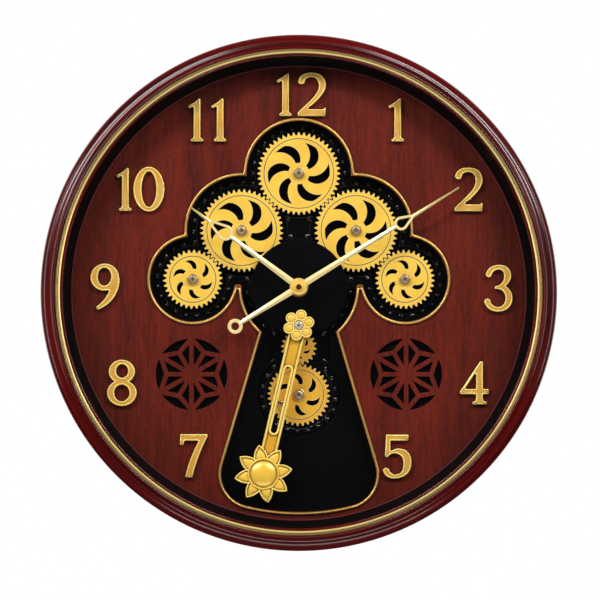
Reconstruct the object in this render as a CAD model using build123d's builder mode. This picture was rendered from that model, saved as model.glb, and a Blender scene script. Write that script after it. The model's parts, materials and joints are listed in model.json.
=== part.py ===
from build123d import *
import os
from math import atan2, cos, degrees, hypot, pi, radians, sin, sqrt, tan

# Round wall clock with a train of turning gears behind its dial and a pendulum that a crank swings.
# Millimetres. The clock faces -Y and +Z is up. The origin is on the axis of the round case, at the wall.
# A depth is the distance from the wall towards the viewer. Angles are in degrees, seen from the front.

os.makedirs("parts", exist_ok=True)

# Fits and clearances
running = 0.05
slip = 0.1
disc_room = 0.3
end_play = 0.2
free_gap = 1.0
backlash_share = 0.13

# Case ring, from its outer bead inwards
case_radius = 200.0
case_wall = 2.4
bead_stand = 3.0
bead_width = 5.0
bead_depth = 33.0
groove_width = 1.2
groove_sink = 0.6
roll_width = 3.6
cove_width = 4.7
cove_rise = 4.4
ridge_width = 1.9
ridge_height = 1.2
gold_ring_width = 3.3
gold_ring_height = 2.6
gold_seat_sink = 1.6
reed_rise = 0.5
reed_slope = 0.5
lip_width = 2.0
lip_thickness = 3.2
lens_bearing = 4.2
case_screw_count = 8
case_screw_start = 22.5
boss_sink = 1.0

# Depths of the stack
back_recess = 1.5
back_thickness = 2.0
unit_gap = 1.5
unit_depth = 16.0
pan_floor = 2.0
pan_depth = 8.0
pan_wall = 2.0
skirt_panel_rise = 4.0
flange_width = 9.0
flange_thickness = 2.0
wheel_gap = 1.0
wheel_thickness = 2.5
disc_thickness = 1.6
dial_thickness = 3.0
lens_thickness = 2.5
numeral_thickness = 3.0
numeral_bevel = 0.7
numeral_corner = 0.8
numeral_inset = 23.3
lens_gap = 1.0

# Inner ring between lens and dial
inner_ring_wall = 2.0
inner_ring_run = 6.0
foot_bead = 0.8

# Gear train
gear_module = 1.31
big_teeth = 48
small_teeth = 34
motor_teeth = 20
crank_teeth = 36
drive_ring_teeth = 51
tip_share = 0.6
root_share = 1.3
tooth_angle = 20.0
tip_crown = 0.3
gear_hub_radius = 8.2
gear_rim = 5.1
window_rim = 2.8
groove_line = 0.6
groove_line_depth = 0.6
big_window_sweep = 55.0
small_window_sweep = 43.0
window_count = 6
post_radius = 2.5
shoulder_radius = 4.2
column_radius = 6.0
centre_hub_radius = 9.5
disc_radius = 37.3
disc_edge = 0.5
big_window_lead = 23.5
small_window_lead = 11.2
motor_window_start = 5.2
motor_window_end = 8.8
crank_boss_radius = 3.4

# Screws and washers of the gears
gear_screw_radius = 1.1
gear_screw_length = 6.0
gear_screw_head_radius = 3.3
gear_screw_head_height = 2.0
screw_head_round = 1.2
washer_radius = 4.7
washer_thickness = 1.2
washer_edge = 0.6
cross_length = 2.4
cross_width = 0.8
cross_depth = 0.7

# Opening in the dial
axis_rise = 3.9
top_lobe = 40.7
side_lobe = 42.3
small_lobe = 33.0
hub_lobe = 44.6
skirt_start_angle = 50.0
skirt_lean = 16.4
skirt_inset = 5.3
skirt_corner = 25.0
peak_round = 1.8
trim_width = 2.4
trim_height = 1.4
trim_bevel = 0.6
neck_half_width = 24.6
crank_recess_radius = 33.0

# Screws between pan and dial
pan_screw_radius = 1.1
pan_screw_bite = 2.0
pan_screw_inset = 6.0
pan_screw_head_radius = 2.4
pan_screw_head_height = 1.4

# Star grilles
grille_x = 83.2
grille_z = -63.4
grille_radius = 27.8
grille_bar = 3.5
grille_centre_radius = 7.0
grille_fork = 19.3
backing_margin = 4.0
backing_thickness = 1.2

# Pendulum and crank
pivot_drop = 29.4
pendulum_lean = 13.4
crank_radius = 15.75
crank_pin_radius = 1.5
crank_pin_head_radius = 2.3
arm_width = 12.0
arm_thickness = 2.0
arm_rib = 1.3
arm_rib_height = 0.9
slot_width = 4.7
slot_start = 33.1
slot_end = 85.7
slot_lip = 1.7
pivot_radius = 2.2
pivot_boss_radius = 3.6
rosette_petals = 6
rosette_reach = 7.9
petal_radius = 4.4
petal_dome_radius = 3.1
rosette_centre_radius = 4.7
rosette_thickness = 2.2
petal_rim = 0.6
small_round = 0.5
sun_drop = 118.0
sun_petals = 8
sun_tip_radius = 22.7
sun_rim_radius = 12.3
sun_dome_radius = 10.1
sun_dome_height = 3.2
sun_thickness = 2.0
sun_rim_height = 1.0
sun_petal_half_width = 5.4

# Hands
hour_angle = 143.6
minute_angle = 31.8
hour_length = 104.4
hour_loop_start = 64.4
hour_loop_end = 87.0
hour_loop_width = 12.4
minute_length = 145.7
minute_loop_start = 87.5
minute_loop_end = 104.8
minute_loop_width = 10.9
tail_length = 57.7
tail_ring_radius = 5.9
tail_ring_hole = 3.0
hand_root_width = 5.2
hand_neck_width = 2.9
hand_tip_width = 1.2
hand_edge = 0.6
hand_ridge = 1.3
loop_stroke = 2.2
hour_hub_radius = 6.8
minute_hub_radius = 6.0
hand_gap = 1.2
loop_height = 1.0
loop_bevel = 0.3

# Hands' shafts and nuts
nipple_radius = 4.0
hour_tube_radius = 2.6
arbor_radius = 1.7
hex_width = 11.0
hex_thickness = 2.0
movement_washer_radius = 7.5
movement_washer_thickness = 0.6
cap_radius = 2.9
cap_height = 2.6
cap_round = 1.6

# Movement and drive unit
movement_size = 56.0
unit_wall = 1.5
unit_corner = 3.0
bearing_radius = 3.2
bearing_height = 3.0
motion_module = 0.5
minute_pinion_teeth = 12
motion_wheel_teeth = 36
motion_pinion_teeth = 10
hour_wheel_teeth = 40
motion_angle = 150.0
motion_thickness = 1.2
motion_shaft_radius = 1.2
knob_radius = 6.0
knob_thickness = 2.4
knob_flutes = 16
knob_flute_radius = 0.8
battery_drop = 18.5
battery_room = 0.5
battery_radius = 7.1
battery_length = 49.0
battery_cap_radius = 2.7
battery_cap_length = 1.5
coil_length = 20.0
coil_radius = 3.2
coil_cheek = 8.0
coil_cheek_thickness = 1.6
coil_rise = 20.5
drive_height = 64.0
drive_top_room = 14.5
motor_can_radius = 12.0
motor_can_depth = 9.0
drive_shaft_radius = 1.5
ear_reach = 9.0
ear_thickness = 2.0
ear_height = 12.0

# Back cover, hanger and small screws
cover_screw_radius = 1.5
cover_screw_length = 12.0
cover_screw_head_radius = 2.6
cover_screw_head_height = 1.2
stack_wall = 2.5
window_margin = 2.0
hanger_width = 26.0
hanger_height = 46.0
hanger_thickness = 1.2
hanger_inset = 50.0
hanger_corner = 4.0
hanger_screw_inset = 5.0
hanger_boss_radius = 4.0
hanger_boss_height = 4.0
keyhole_radius = 5.0
keyhole_slot = 5.2
keyhole_rise = 13.0
keyhole_drop = 5.0
keyhole_room = 1.5
back_rib_radius = 120.0
back_rib_width = 2.0
back_rib_height = 1.0

# Depths that follow from the stack
back_rear = back_recess
back_front = back_rear + back_thickness
unit_rear = back_front + unit_gap
floor_rear = unit_rear + unit_depth
floor_front = floor_rear + pan_floor
lower_rear = floor_front + wheel_gap
lower_front = lower_rear + wheel_thickness
upper_rear = lower_front + wheel_gap
upper_front = upper_rear + wheel_thickness
disc_rear = upper_front + wheel_gap
disc_front = disc_rear + disc_thickness
dial_rear = floor_front + pan_depth
dial_front = dial_rear + dial_thickness
skirt_panel_front = floor_front + skirt_panel_rise
arm_rear = max(disc_front + wheel_gap, dial_front) + end_play
arm_front = arm_rear + arm_thickness
rosette_front = arm_front + arm_rib_height + rosette_thickness
pivot_front = rosette_front - cross_depth
sun_rear = arm_front + arm_rib_height
pendulum_front = max(rosette_front, sun_rear + sun_thickness + sun_dome_height)
pivot_head_front = pivot_front + gear_screw_head_height
numeral_front = dial_front + numeral_thickness
hour_rear = max(pendulum_front, pivot_head_front, numeral_front) + hand_gap
hour_front = hour_rear + hand_ridge
minute_rear = hour_front + hand_gap
minute_front = minute_rear + hand_ridge
cap_front = minute_front + cap_height
lens_rear = cap_front + lens_gap
lens_front = lens_rear + lens_thickness
lip_front = lens_front + lip_thickness
gold_seat = lip_front - gold_seat_sink
ridge_foot = lip_front - ridge_height / 2
nipple_front = disc_front + movement_washer_thickness + hex_thickness + free_gap
arbor_front = minute_front + cap_height / 2
shell_split = (unit_rear + floor_rear) / 2
hour_wheel_front = floor_rear - unit_wall - 2 * end_play
hour_wheel_rear = hour_wheel_front - motion_thickness
motion_wheel_front = hour_wheel_rear - end_play
motion_wheel_rear = motion_wheel_front - motion_thickness
arbor_rear = unit_rear + unit_wall + end_play
knob_front = unit_rear - end_play
battery_depth = floor_rear - unit_wall - battery_radius - end_play
motor_rear = floor_rear - unit_wall - motor_can_depth
hanger_rear = back_rear - hanger_thickness

# Radii of the case that follow from its widths
wall_radius = case_radius - bead_stand
roll_radius = wall_radius - roll_width
cove_radius = roll_radius - cove_width
ridge_radius = cove_radius - ridge_width
gold_inner_radius = ridge_radius - gold_ring_width - 2 * slip
lip_radius = gold_inner_radius - lip_width
stack_radius = lip_radius + lens_bearing
dial_radius_shown = lip_radius - inner_ring_run
numeral_radius = dial_radius_shown - numeral_inset
skirt_bottom_radius = dial_radius_shown - skirt_inset
hanger_z = case_radius - hanger_inset
channel_inner = stack_radius + case_wall
channel_outer = wall_radius - case_wall
case_screw_radius = (channel_inner + channel_outer) / 2
boss_radius = (channel_outer - channel_inner) / 2 + boss_sink
disc_stack_radius = stack_radius - disc_room

# Axes of the train, as (x, z)
hub = (0.0, axis_rise)
big_step = gear_module * big_teeth / sqrt(2)
small_step = gear_module * (big_teeth + small_teeth) / 2 / sqrt(2)
top_axis = (0.0, axis_rise + 2 * big_step)
left_axis = (-big_step, axis_rise + big_step)
right_axis = (big_step, axis_rise + big_step)
small_left_axis = (-big_step - small_step, axis_rise + big_step - small_step)
small_right_axis = (big_step + small_step, axis_rise + big_step - small_step)
motor_axis = (0.0, axis_rise - gear_module * (drive_ring_teeth + motor_teeth) / 2)
crank_axis = (0.0, motor_axis[1] - gear_module * (motor_teeth + crank_teeth) / 2)
pivot_axis = (0.0, axis_rise - pivot_drop)
drive_middle = motor_axis[1] + drive_top_room - drive_height / 2
motion_reach = motion_module * (minute_pinion_teeth + motion_wheel_teeth) / 2
hour_module = 2 * motion_reach / (motion_pinion_teeth + hour_wheel_teeth)
motion_across = motion_reach * cos(radians(motion_angle))
motion_rise = motion_reach * sin(radians(motion_angle))
motion_axis = (hub[0] + motion_across, hub[1] + motion_rise)
movement_battery_z = hub[1] - battery_drop
drive_battery_z = drive_middle - drive_height / 2 + unit_wall + battery_radius + free_gap
keyhole_z = hanger_z - keyhole_drop
hanger_screw_rise = hanger_height / 2 - hanger_screw_inset
hanger_screw_places = [(0.0, hanger_z - hanger_screw_rise), (0.0, hanger_z + hanger_screw_rise)]

# Middle of the narrow peak between a small lobe and the hub lobe
peak_run = hypot(small_left_axis[0] - hub[0], small_left_axis[1] - hub[1])
peak_share = (peak_run + hub_lobe - small_lobe) / 2 / peak_run
peak_x = hub[0] + peak_share * (small_left_axis[0] - hub[0])
peak_z = hub[1] + peak_share * (small_left_axis[1] - hub[1])

# Pendulum pose: the pin lies where the leaning arm crosses the crank circle, on the far side
pivot_to_crank = pivot_axis[1] - crank_axis[1]
arm_angle = 270.0 - pendulum_lean
pin_across = pivot_to_crank * sin(radians(pendulum_lean))
pin_along = pivot_to_crank * cos(radians(pendulum_lean))
pin_reach = pin_along + sqrt(crank_radius**2 - pin_across**2)

# Start of the skirt's slanted sides on the hub lobe, and the screws that hold the pan to the dial
skirt_start_x = hub_lobe * cos(radians(skirt_start_angle))
skirt_start_z = axis_rise - hub_lobe * sin(radians(skirt_start_angle))
skirt_slope = tan(radians(skirt_lean))
side_screw_x = skirt_start_x + (skirt_start_z - crank_axis[1]) * skirt_slope + pan_screw_inset
pan_screw_places = [
    (0.0, top_axis[1] + top_lobe + pan_screw_inset),
    (left_axis[0] - side_lobe - pan_screw_inset, left_axis[1]),
    (right_axis[0] + side_lobe + pan_screw_inset, right_axis[1]),
    (small_left_axis[0], small_left_axis[1] - small_lobe - pan_screw_inset),
    (small_right_axis[0], small_right_axis[1] - small_lobe - pan_screw_inset),
    (-side_screw_x, crank_axis[1]),
    (side_screw_x, crank_axis[1]),
]


def front(depth, place=(0.0, 0.0), turn=0.0):
    """Plane that faces the viewer at a depth, with its origin at (x, z) and its x axis turned."""
    x_dir = (cos(radians(turn)), 0.0, sin(radians(turn)))
    return Plane(origin=(place[0], -depth, place[1]), x_dir=x_dir, z_dir=(0, -1, 0))


def across(depth, place, turn, reach):
    """Plane square to a direction in the face, at a reach along it. Its x axis lies in the face."""
    ahead = (cos(radians(turn)), 0.0, sin(radians(turn)))
    origin = (place[0] + reach * ahead[0], -depth, place[1] + reach * ahead[2])
    return Plane(origin=origin, x_dir=(-ahead[2], 0.0, ahead[0]), z_dir=ahead)


def polar(radius, angle, centre=(0.0, 0.0)):
    """Point at a radius and angle about a centre."""
    return (centre[0] + radius * cos(radians(angle)), centre[1] + radius * sin(radians(angle)))


def section(radius, depth):
    """Point of a section that is turned about the case axis."""
    return (radius, -depth)


def meshed(phase, teeth, direction, next_teeth):
    """Angle of a tooth of a gear that meshes with the gear whose tooth lies at phase."""
    return direction + 180 - 180 / next_teeth + (direction - phase) * teeth / next_teeth


def tooth(teeth, module):
    """One tooth, pointing along x, with straight flanks and a crowned tip."""
    pitch_radius = module * teeth / 2
    root_radius = pitch_radius - root_share * module
    tip_radius = pitch_radius + tip_share * module
    half_pitch = (0.5 - backlash_share) * pi * module / 2
    half_tip = half_pitch - tip_share * module * tan(radians(tooth_angle))
    half_root = half_pitch + root_share * module * tan(radians(tooth_angle))
    shoulder = tip_radius - tip_crown * module
    foot = root_radius - tip_crown * module
    with BuildSketch() as outline:
        with BuildLine():
            Polyline((shoulder, -half_tip), (root_radius, -half_root), (foot, -half_root))
            Line((foot, -half_root), (foot, half_root))
            Polyline((foot, half_root), (root_radius, half_root), (shoulder, half_tip))
            ThreePointArc((shoulder, half_tip), (tip_radius, 0), (shoulder, -half_tip))
        make_face()
    return outline.sketch


def toothed_disc(teeth, module, phase):
    """Outline of a gear with a tooth at the angle phase."""
    one_tooth = tooth(teeth, module)
    with BuildSketch() as outline:
        Circle(module * teeth / 2 - root_share * module)
        with PolarLocations(0, teeth, start_angle=phase):
            add(one_tooth)
    return outline.sketch


def swirl_window(hub_radius, rim_radius, sweep):
    """Comma-shaped window between a gear's hub and rim, with its leading edge on the x axis."""
    span = rim_radius - hub_radius
    lead = polar(hub_radius, 0)
    lead_bulge = polar(hub_radius + 0.745 * span, 0.30 * sweep)
    rim_start = polar(hub_radius + 0.985 * span, 0.60 * sweep)
    rim_middle = polar(rim_radius, 0.80 * sweep)
    point = polar(rim_radius, sweep)
    trail_bulge = polar(hub_radius + 0.62 * span, 0.70 * sweep)
    trail = polar(hub_radius, 0.44 * sweep)
    hub_middle = polar(hub_radius, 0.22 * sweep)
    with BuildSketch() as window:
        with BuildLine():
            ThreePointArc(lead, lead_bulge, rim_start)
            ThreePointArc(rim_start, rim_middle, point)
            ThreePointArc(point, trail_bulge, trail)
            ThreePointArc(trail, hub_middle, lead)
        make_face()
    return window.sketch


def skirt(margin):
    """Lower part of the dial opening: slanted sides, a round bottom and rounded corners."""
    side = margin / cos(radians(skirt_lean))
    fall = 2 * skirt_bottom_radius
    top_half = skirt_start_x + side
    low_half = top_half + fall * skirt_slope
    low = skirt_start_z - fall
    with BuildSketch() as outline:
        Polygon(
            (-top_half, skirt_start_z),
            (-low_half, low),
            (low_half, low),
            (top_half, skirt_start_z),
            align=None,
        )
        Circle(skirt_bottom_radius + margin, mode=Mode.INTERSECT)
        fillet(outline.vertices().sort_by(Axis.Y)[:2], skirt_corner + margin)
    return outline.sketch


def lobes(margin):
    """Round lobes of the opening, added to the current sketch."""
    with Locations(hub):
        Circle(hub_lobe + margin)
    with Locations(top_axis):
        Circle(top_lobe + margin)
    with Locations(left_axis, right_axis):
        Circle(side_lobe + margin)
    with Locations(small_left_axis, small_right_axis):
        Circle(small_lobe + margin)
    Polygon(hub, right_axis, top_axis, left_axis, align=None)


def opening(margin):
    """Outline of the dial opening, widened all round by a margin. The peaks beside the hub are rounded."""
    lower_part = skirt(margin)
    with BuildSketch() as outline:
        add(lower_part)
        lobes(margin)
        if margin:
            with Locations((peak_x, peak_z - margin), (-peak_x, peak_z - margin)):
                Circle(margin)
        else:
            peaks = outline.vertices().sort_by_distance((peak_x, peak_z))[:2]
            peaks += outline.vertices().sort_by_distance((-peak_x, peak_z))[:2]
            fillet(peaks, peak_round)
    return outline.sketch


def gear_recess():
    """Deep part of the pan: round the upper gears, the hub, the neck below it and the crank gear."""
    with BuildSketch() as outline:
        lobes(0)
        with Locations((0, (hub[1] + crank_axis[1]) / 2)):
            Rectangle(2 * neck_half_width, hub[1] - crank_axis[1])
        with Locations(crank_axis):
            Circle(crank_recess_radius)
    return outline.sketch


def bar(start, end, width):
    """Round-ended strip between two points, cut from the current sketch."""
    run = (end[0] - start[0], end[1] - start[1])
    with Locations(((start[0] + end[0]) / 2, (start[1] + end[1]) / 2)):
        SlotCenterToCenter(hypot(*run), width, rotation=degrees(atan2(run[1], run[0])), mode=Mode.SUBTRACT)


def star_grille():
    """Gaps of a six-pointed star lattice in a round hole."""
    with BuildSketch() as gaps:
        Circle(grille_radius)
        for spoke in range(6):
            fork = polar(grille_fork, 60 * spoke)
            bar((0, 0), polar(grille_radius, 60 * spoke + 30), grille_bar)
            bar((0, 0), fork, grille_bar)
            bar(fork, polar(grille_radius, 60 * spoke + 30), grille_bar)
            bar(fork, polar(grille_radius, 60 * spoke - 30), grille_bar)
        Circle(grille_centre_radius, mode=Mode.SUBTRACT)
    return gaps.sketch


def cross_recess():
    """Cross slot of a screw head."""
    with BuildSketch() as slots:
        Rectangle(cross_length, cross_width)
        Rectangle(cross_width, cross_length)
    return slots.sketch


def hand_section(width):
    """Ridged section of a hand, with its flat back on the x axis."""
    with BuildSketch() as outline:
        Polygon(
            (-width / 2, 0),
            (width / 2, 0),
            (width / 2, hand_edge),
            (0, hand_ridge),
            (-width / 2, hand_edge),
            align=None,
        )
    return outline.sketch


def pear(start, end, width, inset):
    """Pear shape along x that is round at its start and narrow at its end."""
    round_radius = width / 2 - inset
    point_radius = max(hand_neck_width / 2 - inset, hand_tip_width / 4)
    with BuildSketch() as outline:
        with BuildLine():
            CenterArc((start + width / 2, 0), round_radius, 0, 360)
            CenterArc((end - point_radius - 1.5 * inset, 0), point_radius, 0, 360)
        make_hull()
    return outline.sketch


def digit_one():
    """Figure 1 about the middle of its stem: a slanted flag and a bracketed foot."""
    with BuildSketch() as figure:
        with BuildLine():
            Polyline((2.7, -12.6), (2.7, 16.7), (1.3, 16.7))
            ThreePointArc((1.3, 16.7), (-2.9, 13.3), (-7.2, 10.9))
            Polyline((-7.2, 10.9), (-6.2, 8.7), (-2.7, 10.6), (-2.7, -12.6))
            ThreePointArc((-2.7, -12.6), (-3.2, -14.1), (-4.8, -14.7))
            Polyline((-4.8, -14.7), (-4.8, -16.9), (4.8, -16.9), (4.8, -14.7))
            ThreePointArc((4.8, -14.7), (3.2, -14.1), (2.7, -12.6))
        make_face()
        fillet(figure.vertices(), numeral_corner)
    return figure.sketch


def digit_two():
    """Figure 2: a hooked bowl, a swept diagonal and a flat foot."""
    with BuildSketch() as figure:
        with BuildLine():
            ThreePointArc((-5.5, 9.2), (-8.4, 7.8), (-10.8, 10.2))
            Spline(
                (-10.8, 10.2),
                (-7.6, 15.2),
                (0.4, 17.1),
                (8.2, 14.4),
                (11.0, 7.2),
                (8.4, 0.2),
                (-4.7, -11.6),
            )
            Polyline((-4.7, -11.6), (9.0, -11.6), (9.6, -10.4), (11.0, -10.4), (10.4, -17.0), (-11.0, -17.0))
            Line((-11.0, -17.0), (-11.0, -14.4))
            Spline(
                (-11.0, -14.4),
                (2.6, -0.4),
                (5.4, 7.1),
                (3.4, 12.0),
                (-0.6, 13.5),
                (-4.2, 12.2),
                (-5.5, 9.2),
            )
        make_face()
        fillet(figure.vertices(), numeral_corner)
    return figure.sketch


def digit_three():
    """Figure 3: two open bowls that meet at a short bar."""
    with BuildSketch() as figure:
        with BuildLine():
            ThreePointArc((-5.3, 10.0), (-7.7, 8.4), (-9.8, 10.7))
            Spline((-9.8, 10.7), (-6.4, 16.3), (0.3, 18.2), (7.4, 16.0), (10.0, 10.6), (8.6, 5.1), (5.3, 1.5))
            Spline(
                (5.3, 1.5),
                (9.5, -2.3),
                (11.0, -7.8),
                (8.3, -14.9),
                (-0.2, -18.3),
                (-7.9, -15.8),
                (-11.0, -10.6),
            )
            ThreePointArc((-11.0, -10.6), (-9.0, -8.0), (-6.2, -9.9))
            Spline(
                (-6.2, -9.9),
                (-4.1, -13.3),
                (-0.5, -14.5),
                (4.0, -12.2),
                (5.4, -7.1),
                (3.2, -2.3),
                (-2.9, -1.0),
            )
            Line((-2.9, -1.0), (-2.9, 1.8))
            Spline((-2.9, 1.8), (2.5, 4.1), (4.4, 9.4), (3.0, 13.3), (-0.2, 14.4), (-3.4, 13.1), (-5.3, 10.0))
        make_face()
        fillet(figure.vertices(), numeral_corner)
    return figure.sketch


def digit_four():
    """Figure 4: a closed triangle on a stem with a bracketed foot."""
    with BuildSketch() as figure:
        with BuildLine():
            Polyline((6.8, 16.7), (4.5, 16.7), (-11.1, -6.7), (-11.1, -8.8), (1.4, -8.8), (1.4, -12.4))
            ThreePointArc((1.4, -12.4), (0.6, -13.9), (-1.5, -14.5))
            Polyline((-1.5, -14.5), (-1.5, -16.8), (9.7, -16.8), (9.7, -14.5))
            ThreePointArc((9.7, -14.5), (7.6, -13.9), (6.8, -12.4))
            Polyline((6.8, -12.4), (6.8, -8.8), (11.3, -8.8), (11.3, -4.7), (6.8, -4.7), (6.8, 16.7))
        make_face()
        Polygon((1.4, 8.6), (1.4, -4.7), (-7.4, -4.7), align=None, mode=Mode.SUBTRACT)
        fillet(figure.vertices(), numeral_corner)
    return figure.sketch


def digit_five():
    """Figure 5: a flag on a short stem over an open bowl."""
    with BuildSketch() as figure:
        with BuildLine():
            Polyline((-5.2, 3.4), (-5.0, 12.2), (8.5, 12.2), (9.3, 17.0), (-8.6, 17.0), (-9.4, 0.0))
            Line((-9.4, 0.0), (-7.4, -1.0))
            Spline(
                (-7.4, -1.0),
                (-1.3, 2.3),
                (3.4, -0.2),
                (4.8, -6.5),
                (3.2, -12.0),
                (-1.0, -13.9),
                (-6.2, -10.3),
            )
            ThreePointArc((-6.2, -10.3), (-8.8, -8.7), (-11.0, -10.9))
            bowl = [(-0.8, -17.2), (8.2, -13.2), (11.2, -4.9), (8.4, 3.4), (2.0, 6.2), (-5.2, 3.4)]
            Spline((-11.0, -10.9), (-7.4, -16.0), *bowl)
        make_face()
        fillet(figure.vertices(), numeral_corner)
    return figure.sketch


def digit_seven():
    """Figure 7: a top bar with a left serif and a curved leg."""
    with BuildSketch() as figure:
        with BuildLine():
            Polyline((-1.1, -17.0), (-6.7, -16.7))
            Spline((-6.7, -16.7), (-1.8, -0.5), (4.0, 11.7))
            Polyline(
                (4.0, 11.7),
                (-7.0, 11.7),
                (-8.0, 8.4),
                (-10.8, 8.4),
                (-10.4, 16.9),
                (10.8, 16.9),
                (10.8, 14.9),
            )
            Spline((10.8, 14.9), (4.2, 0.2), (-1.1, -17.0))
        make_face()
        fillet(figure.vertices(), numeral_corner)
    return figure.sketch


def digit_eight():
    """Figure 8: two rings, the lower one larger."""
    with BuildSketch() as figure:
        with Locations((0, 8.7)):
            Ellipse(10.2, 9.3)
        with Locations((0, -7.8)):
            Ellipse(11.5, 10.2)
        with Locations((0.2, 9.2)):
            Ellipse(4.6, 5.2, mode=Mode.SUBTRACT)
        with Locations((0, -7.8)):
            Ellipse(5.9, 6.4, mode=Mode.SUBTRACT)
    return figure.sketch


def digit_nine():
    """Figure 9: a ring with a tail that sweeps down to the left."""
    ring = [
        (11.2, 7.4),
        (8.0, 14.8),
        (0.0, 18.1),
        (-7.9, 14.9),
        (-11.2, 7.5),
        (-8.3, 0.2),
        (-0.7, -3.1),
        (3.7, -2.2),
    ]
    with BuildSketch() as figure:
        with BuildLine():
            Spline((-5.8, -18.1), (-0.7, -15.6), (5.1, -11.0), (9.9, -3.0), *ring)
            Spline((3.7, -2.2), (1.6, -6.7), (-1.8, -11.3), (-6.7, -15.4))
            Line((-6.7, -15.4), (-5.8, -18.1))
        make_face()
        fillet(figure.vertices(), numeral_corner)
        with Locations((-0.3, 7.9)):
            Ellipse(5.2, 6.9, mode=Mode.SUBTRACT)
    return figure.sketch


def digit_zero():
    """Figure 0: an upright oval ring."""
    with BuildSketch() as figure:
        Ellipse(12.0, 17.5)
        Ellipse(5.7, 13.7, mode=Mode.SUBTRACT)
    return figure.sketch


# Angles of a tooth of each gear, so that the teeth of every pair mesh, from the way to the next axis
up_left = 135
up_right = 45
down_left = 225
down_right = 315
down = 270
centre_phase = 0.0
left_phase = meshed(centre_phase, big_teeth, up_left, big_teeth)
right_phase = meshed(centre_phase, big_teeth, up_right, big_teeth)
top_phase = meshed(left_phase, big_teeth, up_right, big_teeth)
small_left_phase = meshed(left_phase, big_teeth, down_left, small_teeth)
small_right_phase = meshed(right_phase, big_teeth, down_right, small_teeth)
motor_phase = meshed(centre_phase, drive_ring_teeth, down, motor_teeth)
crank_phase = meshed(motor_phase, motor_teeth, down, crank_teeth)

# Case ring: a channel open at the back, with a seat for the gold ring and a lip in front of the lens
with BuildPart() as case_ring:
    with BuildSketch(Plane.XY):
        with BuildLine():
            wall_end = section(wall_radius, bead_depth - bead_width / 2)
            bead_crest = section(case_radius, bead_depth)
            bead_end = section(wall_radius, bead_depth + bead_width / 2)
            groove = section(wall_radius - groove_sink, bead_depth + (bead_width + groove_width) / 2)
            roll_start = section(wall_radius, bead_depth + bead_width / 2 + groove_width)
            roll_end = section(roll_radius, ridge_foot - cove_rise)
            roll_crest = section(wall_radius - 0.22 * roll_width, ridge_foot - cove_rise - 0.45 * roll_width)
            cove_end = section(cove_radius, ridge_foot)
            cove_middle = section(cove_radius + 0.42 * cove_width, ridge_foot - 0.76 * cove_rise)
            ridge_crest = section(cove_radius - ridge_width / 2, ridge_foot + ridge_height)
            ridge_end = section(ridge_radius, ridge_foot)
            lip_start = section(gold_inner_radius, ridge_foot)
            lip_crest = section(gold_inner_radius - lip_width / 2, lip_front)
            lip_end = section(lip_radius, ridge_foot)
            Line(section(wall_radius, 0), wall_end)
            ThreePointArc(wall_end, bead_crest, bead_end)
            Polyline(bead_end, groove, roll_start)
            ThreePointArc(roll_start, roll_crest, roll_end)
            ThreePointArc(roll_end, cove_middle, cove_end)
            ThreePointArc(cove_end, ridge_crest, ridge_end)
            Polyline(
                ridge_end,
                section(ridge_radius, gold_seat),
                section(gold_inner_radius, gold_seat),
                lip_start,
            )
            ThreePointArc(lip_start, lip_crest, lip_end)
            Polyline(
                lip_end,
                section(lip_radius, lens_front),
                section(stack_radius, lens_front),
                section(stack_radius, back_front + free_gap),
                section(channel_inner, back_front + free_gap),
                section(channel_inner, lens_rear - case_wall),
                section(channel_outer, bead_depth),
                section(channel_outer, 0),
                section(wall_radius, 0),
            )
        make_face()
    revolve(axis=Axis.Y)
    with BuildSketch(front(back_front)):
        with PolarLocations(case_screw_radius, case_screw_count, start_angle=case_screw_start):
            Circle(boss_radius)
    extrude(amount=bead_depth - back_front)
    with BuildSketch(front(back_front)):
        with PolarLocations(case_screw_radius, case_screw_count, start_angle=case_screw_start):
            Circle(cover_screw_radius + slip)
    extrude(amount=cover_screw_length, mode=Mode.SUBTRACT)
case_ring.part.label = "case_ring"
export_step(case_ring.part, "parts/case_ring.step")

# Gold ring: two bevelled reeds side by side
with BuildPart() as gold_ring:
    with BuildSketch(Plane.XY):
        with BuildLine():
            inner_edge = gold_inner_radius + slip
            outer_edge = ridge_radius - slip
            reed_width = (outer_edge - inner_edge) / 2
            reed_foot = gold_seat + gold_ring_height - reed_rise
            valley = section(inner_edge + reed_width, reed_foot)
            Polyline(
                section(inner_edge, reed_foot),
                section(inner_edge, gold_seat),
                section(outer_edge, gold_seat),
                section(outer_edge, reed_foot),
            )
            reed_crest = gold_seat + gold_ring_height
            Polyline(
                section(outer_edge, reed_foot),
                section(outer_edge - reed_slope, reed_crest),
                section(outer_edge - reed_width + reed_slope, reed_crest),
                valley,
                section(inner_edge + reed_width - reed_slope, reed_crest),
                section(inner_edge + reed_slope, reed_crest),
                section(inner_edge, reed_foot),
            )
        make_face()
    revolve(axis=Axis.Y)
gold_ring.part.label = "gold_ring"
export_step(gold_ring.part, "parts/gold_ring.step")

# Front lens
with BuildPart() as front_lens:
    with BuildSketch(front(lens_rear)):
        Circle(disc_stack_radius)
    extrude(amount=lens_thickness)
front_lens.part.label = "front_lens"
export_step(front_lens.part, "parts/front_lens.step")

# Inner ring: a cone from the dial to the lens, with a bead at its foot
with BuildPart() as inner_ring:
    with BuildSketch(Plane.XY):
        with BuildLine():
            foot_inside = section(dial_radius_shown, dial_front)
            foot_crest = section(dial_radius_shown, dial_front + foot_bead)
            flange_under = lens_rear - inner_ring_wall
            Polyline(
                foot_crest,
                foot_inside,
                section(dial_radius_shown + foot_bead + inner_ring_wall, dial_front),
                section(lip_radius + inner_ring_wall, flange_under),
                section(disc_stack_radius, flange_under),
                section(disc_stack_radius, lens_rear),
                section(lip_radius, lens_rear),
                section(dial_radius_shown + foot_bead, dial_front + foot_bead),
                foot_crest,
            )
        make_face()
    revolve(axis=Axis.Y)
inner_ring.part.label = "inner_ring"
export_step(inner_ring.part, "parts/inner_ring.step")

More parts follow.
